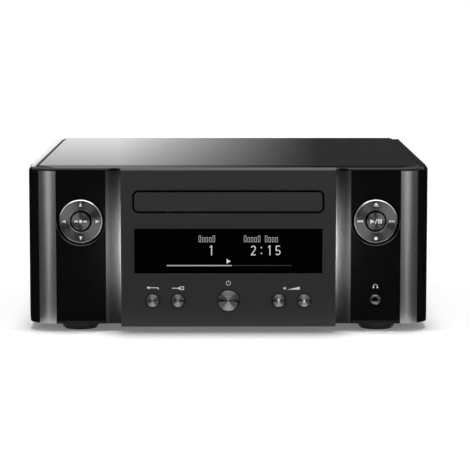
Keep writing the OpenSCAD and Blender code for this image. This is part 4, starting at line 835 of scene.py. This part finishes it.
class RECEIVER_OT_stage(bpy.types.Operator):
    """Sets up the camera, the lamps, the floor and the reflected cards"""

    bl_idname = "receiver.stage"
    bl_label = "Stage"

    def execute(self, context):
        scene = context.scene
        scene.view_settings.view_transform = "Standard"
        self.add_camera(scene)
        self.add_sky(scene)
        self.add_lamps(scene)
        self.add_floor(scene)
        self.add_flags()
        return {"FINISHED"}

    def add_camera(self, scene):
        """The camera at the photograph's viewing angle."""
        stage = scene.receiver_stage
        data = bpy.data.cameras.new("camera")
        data.lens = stage.lens
        data.sensor_width = 36.0
        data.clip_end = 100.0
        camera = bpy.data.objects.new("camera", data)
        camera.location = stage.camera_place
        camera.rotation_euler = stage.camera_turn
        scene.collection.objects.link(camera)
        scene.camera = camera

    def background_rays(self, tree):
        """1 where the background is seen straight, in a reflection or through glass."""
        path = add_node(tree, "LightPath").outputs
        glossy = add_node(
            tree, "Math", {"operation": "MAXIMUM"},
            {0: path["Is Camera Ray"], 1: path["Is Glossy Ray"]})
        return add_node(
            tree, "Math", {"operation": "MAXIMUM"}, {0: glossy, 1: path["Is Transmission Ray"]})

    def add_sky(self, scene):
        """Even light from all round, on a background that looks white."""
        scene.world = bpy.data.worlds.new("studio")
        scene.world.use_nodes = True
        tree = scene.world.node_tree
        level = add_node(
            tree, "MapRange", {"To Min": scene.receiver_stage.sky, "To Max": 1.0},
            {"Value": self.background_rays(tree)})
        background = tree.nodes["Background"]
        tree.links.new(level.outputs[0], background.inputs["Strength"])
        background.inputs["Color"].default_value = linear("#ffffff")

    def add_lamps(self, scene):
        """One lamp that throws the shadow, and a wide one that shows in the upper edges alone."""
        stage = scene.receiver_stage
        for name, spread, unseen in (
            ("overhead_lamp", stage.lamp_spread, "visible_glossy"),
            ("overhead_softbox", stage.softbox_spread, "visible_diffuse"),
        ):
            data = bpy.data.lights.new(name, "SUN")
            data.energy = stage.lamp
            data.angle = spread
            lamp = bpy.data.objects.new(name, data)
            lamp.rotation_euler = (-stage.lamp_tilt, 0.0, 0.0)
            setattr(lamp, unseen, False)
            scene.collection.objects.link(lamp)

    def add_sheet(self, name, corners, material, unseen_by=()):
        """A flat sheet of the studio, which some kinds of rays may not see."""
        mesh = bpy.data.meshes.new(name)
        mesh.from_pydata(corners, [], [tuple(range(len(corners)))])
        mesh.materials.append(material)
        sheet = bpy.data.objects.new(name, mesh)
        bpy.context.scene.collection.objects.link(sheet)
        for ray in unseen_by:
            setattr(sheet, "visible_" + ray, False)

    def add_floor(self, scene):
        """White paper that keeps the shadow and looks as white as the background."""
        paper = surface(
            "paper_rolled_white", linear("#f2f2f2"),
            {"Specular IOR Level": 0.0, "Emission Color": linear("#ffffff")},
            rough=(0.85, 0.95), grain_mm=40.0, relief_mm=0.0, tone=0.01)
        tree = paper.node_tree
        glow = add_node(
            tree, "MapRange", {"To Min": 0.0, "To Max": FLOOR_GLOW},
            {"Value": self.background_rays(tree)})
        tree.links.new(glow.outputs[0], tree.nodes["Principled BSDF"].inputs["Emission Strength"])
        half = scene.receiver_stage.floor_size / 2
        self.add_sheet("floor", [(x, y, 0) for x, y in rectangle((-half, -half), (half, half))], paper)

    def add_card(self, name, corners, material):
        """A sheet that only reflections see."""
        self.add_sheet(name, corners, material, ALL_BUT_GLOSSY)

    def add_standing_card(self, name, start, end, height, material):
        """A card that stands on the floor between two points."""
        foot = [(start[0], start[1], 0.0), (end[0], end[1], 0.0)]
        head = [(x, y, height) for x, y, _ in reversed(foot)]
        self.add_card(name, foot + head, material)

    def add_upright_card(self, name, card, material, side=1):
        """A card across the view, mirrored where side is -1."""
        depth, corners = card
        self.add_card(name, [(side * x, depth, z) for x, z in corners], material)

    def add_flags(self):
        """Black flags and lit cards that the receiver reflects."""
        velvet = surface(
            "velvet_woven_black", linear(VELVET_AND_GAP_SHADE_BLACK), {"Specular IOR Level": 0.0},
            rough=(0.9, 1.0), grain_mm=5.0, relief_mm=0.0, tone=0.1)
        corner = Vector((*WEDGE_CORNER, FLAG_LIFT))
        inner = {}
        for side, name, bearing in WEDGE_BEARINGS:
            edges = [[], []]
            for reach, half_width in WEDGE:
                for edge, degrees in zip(edges, (bearing - half_width, bearing + half_width)):
                    way = math.radians(degrees)
                    point = corner + reach * Vector((math.sin(way), -math.cos(way), 0.0))
                    edge.append(point * Vector((side, 1, 1)))
            inner[side], outer = edges
            end = outer[-1]
            back = [(x, FLAG_BACK_Y, FLAG_LIFT) for x in (end.x, side * SIDE_FLAG_X)]
            self.add_card("side_flag_floor_" + name, outer + back, velvet)
            self.add_standing_card("side_flag_" + name, end, back[0], SIDE_FLAG_HEIGHT, velvet)
        self.add_card("front_flag_floor", inner[-1] + inner[1][::-1], velvet)
        self.add_standing_card("front_flag", inner[-1][-1], inner[1][-1], FRONT_FLAG_HEIGHT, velvet)
        # Two high flags leave a V of white between them, which makes the wedges on spun metal.
        for side, name, _ in WEDGE_BEARINGS:
            self.add_upright_card("high_flag_" + name, HIGH_FLAG, velvet, side)
        # The rear card's left edge leans, so that the lid's bevel sees past it along its whole length.
        self.add_upright_card("rear_card", REAR_CARD, self.graded_card())
        # A bright strip for the left edge of the case, and a grey one for the lid's bevel.
        self.add_upright_card("left_strip", LEFT_STRIP, self.lit_card("card_painted_white", strength=1.6))
        self.add_upright_card("left_grey", LEFT_GREY, self.lit_card("card_painted_grey", strength=0.1))
        self.add_upright_card("rear_flag", REAR_FLAG, velvet)

    def lit_card(self, name, strength):
        """An evenly lit card."""
        material = bpy.data.materials.new(name)
        material.use_nodes = True
        tree = material.node_tree
        tree.nodes.remove(tree.nodes["Principled BSDF"])
        lamp = add_node(tree, "Emission", {"Strength": strength})
        tree.links.new(lamp.outputs[0], tree.nodes["Material Output"].inputs["Surface"])
        return material

    def graded_card(self):
        """A lit card that falls off from left to right and from bottom to top."""
        material = self.lit_card("card_painted_graded", strength=1.0)
        tree = material.node_tree
        axes = object_axes(tree)
        across = add_node(
            tree, "MapRange", {"From Min": -0.11, "From Max": 0.09, "To Min": 0.78, "To Max": 0.0},
            {"Value": axes["X"]})
        upward = add_node(
            tree, "MapRange", {"From Min": 0.145, "From Max": 0.178, "To Min": 1.04, "To Max": 0.7},
            {"Value": axes["Z"]})
        both = add_node(
            tree, "Math", {"operation": "MULTIPLY_ADD", 2: 0.24}, {0: across, 1: upward})
        light = add_node(tree, "Math", {"operation": "POWER", 1: 2.2}, {0: both})
        tree.links.new(light.outputs[0], tree.nodes["Emission"].inputs["Strength"])
        return material


class RECEIVER_OT_cabinet(bpy.types.Operator):
    """Finishes the case, its screws and its feet"""

    bl_idname = "receiver.cabinet"
    bl_label = "Cabinet"

    def execute(self, context):
        finish = context.scene.receiver_finish
        coated = powder_coat("steel_powder_coated", finish.steel)
        dress(("bottom_chassis", "rear_panel", "case_screws"), coated)
        dress(("top_cover",), zinc_steel("steel_galvanised_lid"))
        dress(("feet",), moulded_abs("abs_moulded_feet", finish.plastic))
        dress(("left_side_panel", "right_side_panel"), lacquered_sides("abs_lacquered_sides", finish.gloss))
        bezel = lacquered_abs("abs_lacquered_bezel", finish.lacquer, finish.gloss, finish.channel)
        dress(("front_bezel",), bezel)
        dress(("top_plate",), cast_acrylic("acrylic_cast_top", finish.gloss, specular=0.5))
        round_edges("top_plate", radius_mm=0.3)
        acrylic = cast_acrylic("acrylic_cast_front", finish.gloss, specular=0.12)
        dress(("left_gloss_panel", "right_gloss_panel"), acrylic)
        dress(("foot_pads",), moulded_rubber("rubber_moulded_pads"))
        self.add_vent_shade_screen()
        return {"FINISHED"}

    def add_vent_shade_screen(self):
        """A black screen inside the rear vents, a dark sheet that stands in for the shade inside: a cloth in
        a frame of bars.
        """
        left, bottom = SCREEN_LOW
        right, top = SCREEN_HIGH
        builder = bmesh.new()
        add_block(builder, ((left, SCREEN_Y[0], bottom), (right, SCREEN_Y[1], top)), edge=0.1)
        near, far = SCREEN_BAR_Y
        for z in (bottom, (bottom + top - SCREEN_BAR) / 2, top - SCREEN_BAR):
            add_block(builder, ((left, near, z), (right, far, z + SCREEN_BAR)), edge=0.3)
        for x in (left, right - SCREEN_BAR):
            add_block(builder, ((x, near, bottom), (x + SCREEN_BAR, far, top)), edge=0.3)
        make_piece("vent_shade_screen", builder, vent_shade_screen("cloth_black_vent_shade"))


class RECEIVER_OT_centre_panel(bpy.types.Operator):
    """Finishes the centre panel and the drawer front, prints the panel's marks and paints shade in and round
    the drawer's slot
    """

    bl_idname = "receiver.centre_panel"
    bl_label = "Centre Panel"

    def execute(self, context):
        finish = context.scene.receiver_finish
        panel = blasted_aluminium("aluminium_blasted_panel", finish.panel)
        drawer = blasted_aluminium("aluminium_blasted_drawer", finish.drawer)
        low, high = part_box("tray_front")
        face = front("centre_panel")
        slot = SLOT_WIDTH * MM
        # The flanks of the drawer's slot are painted black: painted shade in the gap round the drawer.
        for metal, depth in ((panel, face), (drawer, low[1])):
            paint_slot_shade(metal, depth + SLOT_SHADE_START * MM, high[0] + slot, low[2] - slot, high[2] + slot)
        dress(("centre_panel",), panel)
        dress(("tray_front",), drawer)
        ink = screen_ink("ink_screen_printed", finish.ink)
        volume_x = (middle("volume_down_key").x + middle("volume_up_key").x) / 2
        for name, shapes, x, z in (
            ("power_mark", POWER_ICON, middle("power_key").x, POWER_MARK_Z),
            ("back_mark", RETURN_ICON, middle("back_key").x, KEY_MARK_Z),
            ("input_mark", INPUT_ICON, middle("input_key").x, KEY_MARK_Z),
            ("volume_mark", VOLUME_ICON, volume_x, KEY_MARK_Z),
        ):
            mark(name, shapes, (x, z * MM), face, ink)
        # A black line round the drawer's opening is painted shade at the edge of the gap.
        outline = rounded(
            width("tray_front") / 2 + DRAWER_LINE_GAP, (high[2] - low[2]) / MM / 2 + DRAWER_LINE_GAP,
            DRAWER_CORNER + DRAWER_LINE_GAP)
        black = screen_ink("ink_black_drawer_gap_shade", linear(VELVET_AND_GAP_SHADE_BLACK))
        at = middle("tray_front")
        mark("drawer_outline", [loop(outline, DRAWER_LINE)], at, face, black)
        return {"FINISHED"}


class RECEIVER_OT_display(bpy.types.Operator):
    """Finishes the display and lights its figures"""

    bl_idname = "receiver.display"
    bl_label = "Display"

    def execute(self, context):
        finish = context.scene.receiver_finish
        dress(("display_window",), cast_acrylic("acrylic_cast_smoked", finish.window, specular=0.12))
        dress(("display_module",), moulded_abs("abs_moulded_display", linear("#2a2a2b")))
        lit = lit_figure("display_figure_lit", finish.display_light, strength=0.7)
        soft = lit_figure("display_figure_soft", finish.display_light, strength=0.42)
        dim = lit_figure("display_figure_dim", finish.display_light, strength=0.004)
        scale = context.scene.receiver_size.figure_height / (FIGURE_HEIGHT * MM)
        for name, figure, x in FIGURE_PLACES:
            self.lit_mark(name, scaled(FIGURES[figure], scale), x, FIGURE_Z, lit)
        for name, pattern, x in CELL_PLACES:
            self.lit_mark(name, cells(pattern), x, CELL_Z, soft)
        self.lit_mark("play_icon", PLAY_ICON, *PLAY_AT, lit)
        start, now, end = PROGRESS_X
        for name, left, right, light in (
            ("progress_done", start, now, soft), ("progress_left", now, end, dim),
        ):
            self.lit_mark(name, [bar((left, -PROGRESS_HALF), (right, PROGRESS_HALF))], 0, PROGRESS_Z, light)
        return {"FINISHED"}

    def lit_mark(self, name, shapes, x, z, material):
        """A lit mark in the window."""
        mark(name, shapes, (x * MM, z * MM), front("display_window"), material)


class RECEIVER_OT_keys(bpy.types.Operator):
    """Finishes the five panel keys and what they press"""

    bl_idname = "receiver.keys"
    bl_label = "Panel Keys"

    def execute(self, context):
        finish = context.scene.receiver_finish
        ink = screen_ink("ink_printed_on_keys", finish.ink)
        for key in PANEL_KEYS:
            dress((key,), spun_aluminium("aluminium_spun_" + key, finish.key, width(key)))
        # A black ring at each key's edge is painted shade in the gap between the key and the panel.
        black = screen_ink("ink_black_key_gap_shade", linear(VELVET_AND_GAP_SHADE_BLACK))
        for key in PANEL_KEYS:
            outline = circle((0, 0), width(key) / 2 - KEY_LINE_INSET, steps=48)
            mark(key + "_outline", [loop(outline, KEY_LINE)], middle(key), front("centre_panel"), black)
        for key, degrees in (("volume_down_key", 180), ("volume_up_key", 0)):
            arrow = turned(scaled(TRIANGLE_UP, factor=0.9), degrees)
            mark(key + "_mark", arrow, middle(key), front(key) + KEY_DISH * MM, ink, key)
        dress(("key_boards",), solder_mask("laminate_masked_key_boards"))
        dress(("tact_switches",), moulded_abs("abs_moulded_switches", linear("#3a3a3b")))
        return {"FINISHED"}


class RECEIVER_OT_control_rings(bpy.types.Operator):
    """Finishes the two control rings and their centre keys and prints their marks"""

    bl_idname = "receiver.control_rings"
    bl_label = "Control Rings"

    def execute(self, context):
        finish = context.scene.receiver_finish
        ink = screen_ink("ink_printed_on_rings", finish.ink)
        for node, swirl, cut in RING_FINISHES:
            spun = spun_aluminium("aluminium_spun_" + node, finish.ring, width(node), swirl)
            # Behind the cut edge the flanks are painted black: painted shade in the gap.
            cut_edges(spun, finish.cut, front(node) + CUT_START * MM, front(node) + cut * MM)
            dress((node,), spun)
        dress(("cursor_carrier", "transport_carrier"), moulded_abs("abs_moulded_carriers", linear("#0c0c0c")))
        trim = cast_acrylic("acrylic_cast_trim", finish.gloss, specular=0.9)
        for ring in ("cursor", "transport"):
            builder = bmesh.new()
            face = front("left_gloss_panel") / MM
            add_lathe(builder, RING_TRIM, middle(ring + "_ring"), steps=72, face=face)
            make_piece(ring + "_trim", builder, trim)
        for name, degrees in (("right", 0), ("up", 90), ("left", 180), ("down", 270)):
            arrow = turned(TRIANGLE_UP, degrees - 90)
            self.ring_mark("cursor_" + name + "_mark", "cursor_ring", arrow, CURSOR_MARK_RADIUS, degrees, ink)
        for name, shapes, radius, degrees in (
            ("eject_mark", EJECT_ICON, 11.8, 90),
            ("stop_mark", STOP_ICON, 12.0, 270),
            ("next_mark", SKIP_ICON, 11.0, 0),
            ("previous_mark", turned(SKIP_ICON, 180), 11.0, 180),
        ):
            self.ring_mark(name, "transport_ring", shapes, radius, degrees, ink)
        for name, key, shapes in (
            ("enter_mark", "enter_key", ENTER_ICON), ("play_mark", "play_key", PLAY_PAUSE_ICON),
        ):
            mark(name, shapes, middle(key), front(key), ink, key)
        return {"FINISHED"}

    def ring_mark(self, name, ring, shapes, radius, degrees, ink):
        """A mark on a control ring, at a radius in millimetres and an angle."""
        x, z = middle(ring)
        way = math.radians(degrees)
        at = (x + radius * MM * math.cos(way), z + radius * MM * math.sin(way))
        mark(name, shapes, at, front(ring), ink, ring)


class RECEIVER_OT_light_guides(bpy.types.Operator):
    """Lights the guides that glow into the channels beside the centre panel"""

    bl_idname = "receiver.light_guides"
    bl_label = "Light Guides"

    def execute(self, context):
        light = context.scene.receiver_finish.guide_light
        spread = context.scene.receiver_size.guide_spread
        height = middle("light_guides")[1]
        dress(("light_guides",), lit_acrylic("acrylic_moulded_lit", light, height, spread))
        # The guides light what is round them, but don't show as streaks in the rings' bright edges.
        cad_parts["light_guides"].visible_glossy = False
        return {"FINISHED"}


class RECEIVER_OT_phones_socket(bpy.types.Operator):
    """Finishes the headphone socket and prints its mark"""

    bl_idname = "receiver.phones_socket"
    bl_label = "Headphone Socket"

    def execute(self, context):
        dress(("phones_jack",), moulded_abs("abs_moulded_socket", linear("#1d1d1e")))
        builder = bmesh.new()
        at = middle("phones_jack")
        add_lathe(builder, PHONES_FERRULE, at, steps=48, face=front("phones_jack") / MM)
        plated = plated_metal("brass_black_nickel_plated", linear("#838486"))
        make_piece("phones_ferrule", builder, plated)
        ink = screen_ink("ink_printed_on_acrylic", context.scene.receiver_finish.ink)
        face = front("right_gloss_panel")
        mark("phones_mark", PHONES_ICON, (at.x, PHONES_MARK_Z * MM), face, ink)
        return {"FINISHED"}


class RECEIVER_OT_rear_sockets(bpy.types.Operator):
    """Finishes the sockets and terminals at the back"""

    bl_idname = "receiver.rear_sockets"
    bl_label = "Rear Sockets"

    def execute(self, context):
        finish = context.scene.receiver_finish
        black = moulded_abs("abs_moulded_sockets", finish.plastic)
        dress(("mains_inlet", "digital_jacks", "speaker_block"), black)
        dress(("terminal_cap_2", "terminal_cap_4"), moulded_abs("abs_moulded_caps_black", linear("#1a1a1b")))
        dress(("terminal_cap_1", "terminal_cap_3"), moulded_abs("abs_moulded_caps_red", linear("#a01a1c")))
        gold = plated_metal("brass_gold_plated", linear("#d8b25a"))
        nickel = plated_metal("brass_nickel_plated", linear("#c9c6bf"))
        dress(("rca_jacks", "terminal_posts"), gold)
        dress(("aerial_sockets",), nickel)
        self.phono_insulators()
        self.digital_details(gold)
        self.aerial_details(nickel)
        self.mains_pins(nickel)
        self.marks(shaded(finish.ink, factor=0.6))
        return {"FINISHED"}

    def phono_insulators(self):
        """Coloured collars and mouths of the phono sockets."""
        for name, x, hex_text, slot in PHONO_SOCKETS:
            builder = bmesh.new()
            for profile in (PHONO_COLLAR, PHONO_MOUTH):
                add_lathe(builder, profile, (x * MM, PHONO_Z * MM), steps=40)
            plastic = moulded_abs("abs_moulded_" + name, linear(hex_text))
            make_piece(name + "_insulator", builder, plastic)

    def digital_details(self, gold):
        """Contacts and lamps of the network socket and the shutter of the optical one."""
        builder = bmesh.new()
        for i in range(8):
            for block in NETWORK_CONTACT:
                add_block(builder, block, edge=0.08, x=NETWORK_X + (i - 3.5) * NETWORK_PITCH)
        make_piece("network_contacts", builder, gold)
        for name, x, hex_text in NETWORK_LAMPS:
            builder = bmesh.new()
            add_block(builder, NETWORK_LAMP, edge=0.25, x=x)
            acrylic = cast_acrylic("acrylic_cast_" + name, linear(hex_text), specular=0.5)
            make_piece("network_" + name + "_lamp", builder, acrylic)
        builder = bmesh.new()
        for block in OPTICAL_SHUTTER:
            add_block(builder, block, edge=0.2, x=OPTICAL_X)
        grey = moulded_abs("abs_moulded_shutter", linear("#3c3c3e"))
        make_piece("optical_shutter", builder, grey)

    def aerial_details(self, nickel):
        """Threads and insulators of the aerial sockets."""
        start, end = THREAD_Y
        near, far = INSULATOR_Y
        threads, insulators = bmesh.new(), bmesh.new()
        for x, z, radius in AERIALS:
            at = (x * MM, z * MM)
            bore = radius - THREAD_WALL
            flanks = [(radius + rise, start + THREAD_STEP * (2 * turn + half))
                      for turn in range(THREAD_TURNS) for half, rise in enumerate(THREAD_RISES)]
            add_lathe(threads, [(bore, start), *flanks, (bore, end)], at, steps=40)
            washer = rectangle((INSULATOR_BORE, near), (radius * INSULATOR_SHARE, far))
            add_lathe(insulators, washer, at, steps=32)
        make_piece("aerial_threads", threads, nickel)
        acetal = moulded_acetal("acetal_moulded_insulators")
        make_piece("aerial_insulators", insulators, acetal)

    def mains_pins(self, nickel):
        """The two pins of the mains inlet."""
        builder = bmesh.new()
        for side in (-1, 1):
            x = MAINS_X + side * MAINS_PIN_OFFSET
            add_lathe(builder, MAINS_PIN, (x * MM, MAINS_Z * MM), steps=24)
        make_piece("mains_pins", builder, nickel)

    def marks(self, rgba):
        """Printed icons of the rear panel and signs on the speaker block."""
        ink = screen_ink("ink_printed_at_rear", rgba)
        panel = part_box("rear_panel")[1][1]
        for name, shapes, x, z in REAR_MARKS:
            mark(name, shapes, (x * MM, z * MM), panel, ink, facing=1)
        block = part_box("speaker_block")[1][1]
        for number, x in enumerate(TERMINAL_X, start=1):
            sign = PLUS_ICON if number % 2 else MINUS_ICON
            mark(f"terminal_{number}_mark", sign, (x * MM, TERMINAL_MARK_Z * MM), block, ink,
                 facing=1)


class RECEIVER_OT_boards(bpy.types.Operator):
    """Finishes the boards, the transformer and the heatsink"""

    bl_idname = "receiver.boards"
    bl_label = "Boards"

    def execute(self, context):
        dress(("power_board", "main_board"), solder_mask("laminate_masked_boards"))
        dress(("heatsink", "reservoir_capacitors"), extruded_aluminium("aluminium_extruded"))
        dress(("mains_transformer",), sintered_ferrite("ferrite_sintered"))
        return {"FINISHED"}


class RECEIVER_OT_disc_loader(bpy.types.Operator):
    """Finishes the disc loader and its traverse"""

    bl_idname = "receiver.disc_loader"
    bl_label = "Disc Loader"

    def execute(self, context):
        finish = context.scene.receiver_finish
        dress(("disc_tray", "turntable", "clamp_puck"), moulded_abs("abs_moulded_tray", finish.plastic))
        dress(("loader_frame", "optical_pickup"), moulded_abs("abs_moulded_grey", linear("#4c4c4e")))
        dress(("loader_posts", "clamp_bridge", "loading_motor", "mechanism_motors", "guide_rods"),
              zinc_steel("steel_galvanised_loader"))
        dress(("traverse_frame",), powder_coat("steel_powder_coated_traverse", finish.steel))
        dress(("motor_pinion", "tray_gear", "sled_gear"), moulded_acetal("acetal_moulded_gears"))
        return {"FINISHED"}


OPERATORS = (
    RECEIVER_OT_stage, RECEIVER_OT_cabinet, RECEIVER_OT_centre_panel, RECEIVER_OT_display, RECEIVER_OT_keys,
    RECEIVER_OT_control_rings, RECEIVER_OT_light_guides, RECEIVER_OT_phones_socket, RECEIVER_OT_rear_sockets,
    RECEIVER_OT_boards, RECEIVER_OT_disc_loader,
)
GROUPS = {
    "receiver_finish": ReceiverFinish,
    "receiver_size": ReceiverSize,
    "receiver_stage": ReceiverStage,
}


class RECEIVER_PT_sidebar(bpy.types.Panel):
    """Lists the receiver's settings and steps"""

    bl_idname = "RECEIVER_PT_sidebar"
    bl_label = "Compact CD Receiver"
    bl_space_type = "VIEW_3D"
    bl_region_type = "UI"
    bl_category = "Receiver"

    def draw(self, context):
        for group_name, group in GROUPS.items():
            box = self.layout.box()
            for name in group.__annotations__:
                box.prop(getattr(context.scene, group_name), name)
        for operator in OPERATORS:
            self.layout.operator(operator.bl_idname)


CLASSES = (*GROUPS.values(), *OPERATORS, RECEIVER_PT_sidebar)


def register():
    """Registers the classes and hangs the settings on the scene."""
    for cls in CLASSES:
        bpy.utils.register_class(cls)
    for name, group in GROUPS.items():
        setattr(bpy.types.Scene, name, PointerProperty(type=group))


def unregister():
    """Takes the settings and the classes away again."""
    for name in GROUPS:
        delattr(bpy.types.Scene, name)
    for cls in reversed(CLASSES):
        bpy.utils.unregister_class(cls)


def main():
    """Runs every step in order."""
    register()
    for operator in OPERATORS:
        getattr(bpy.ops.receiver, operator.bl_idname.split(".")[1])()


if __name__ == "__main__":
    main()
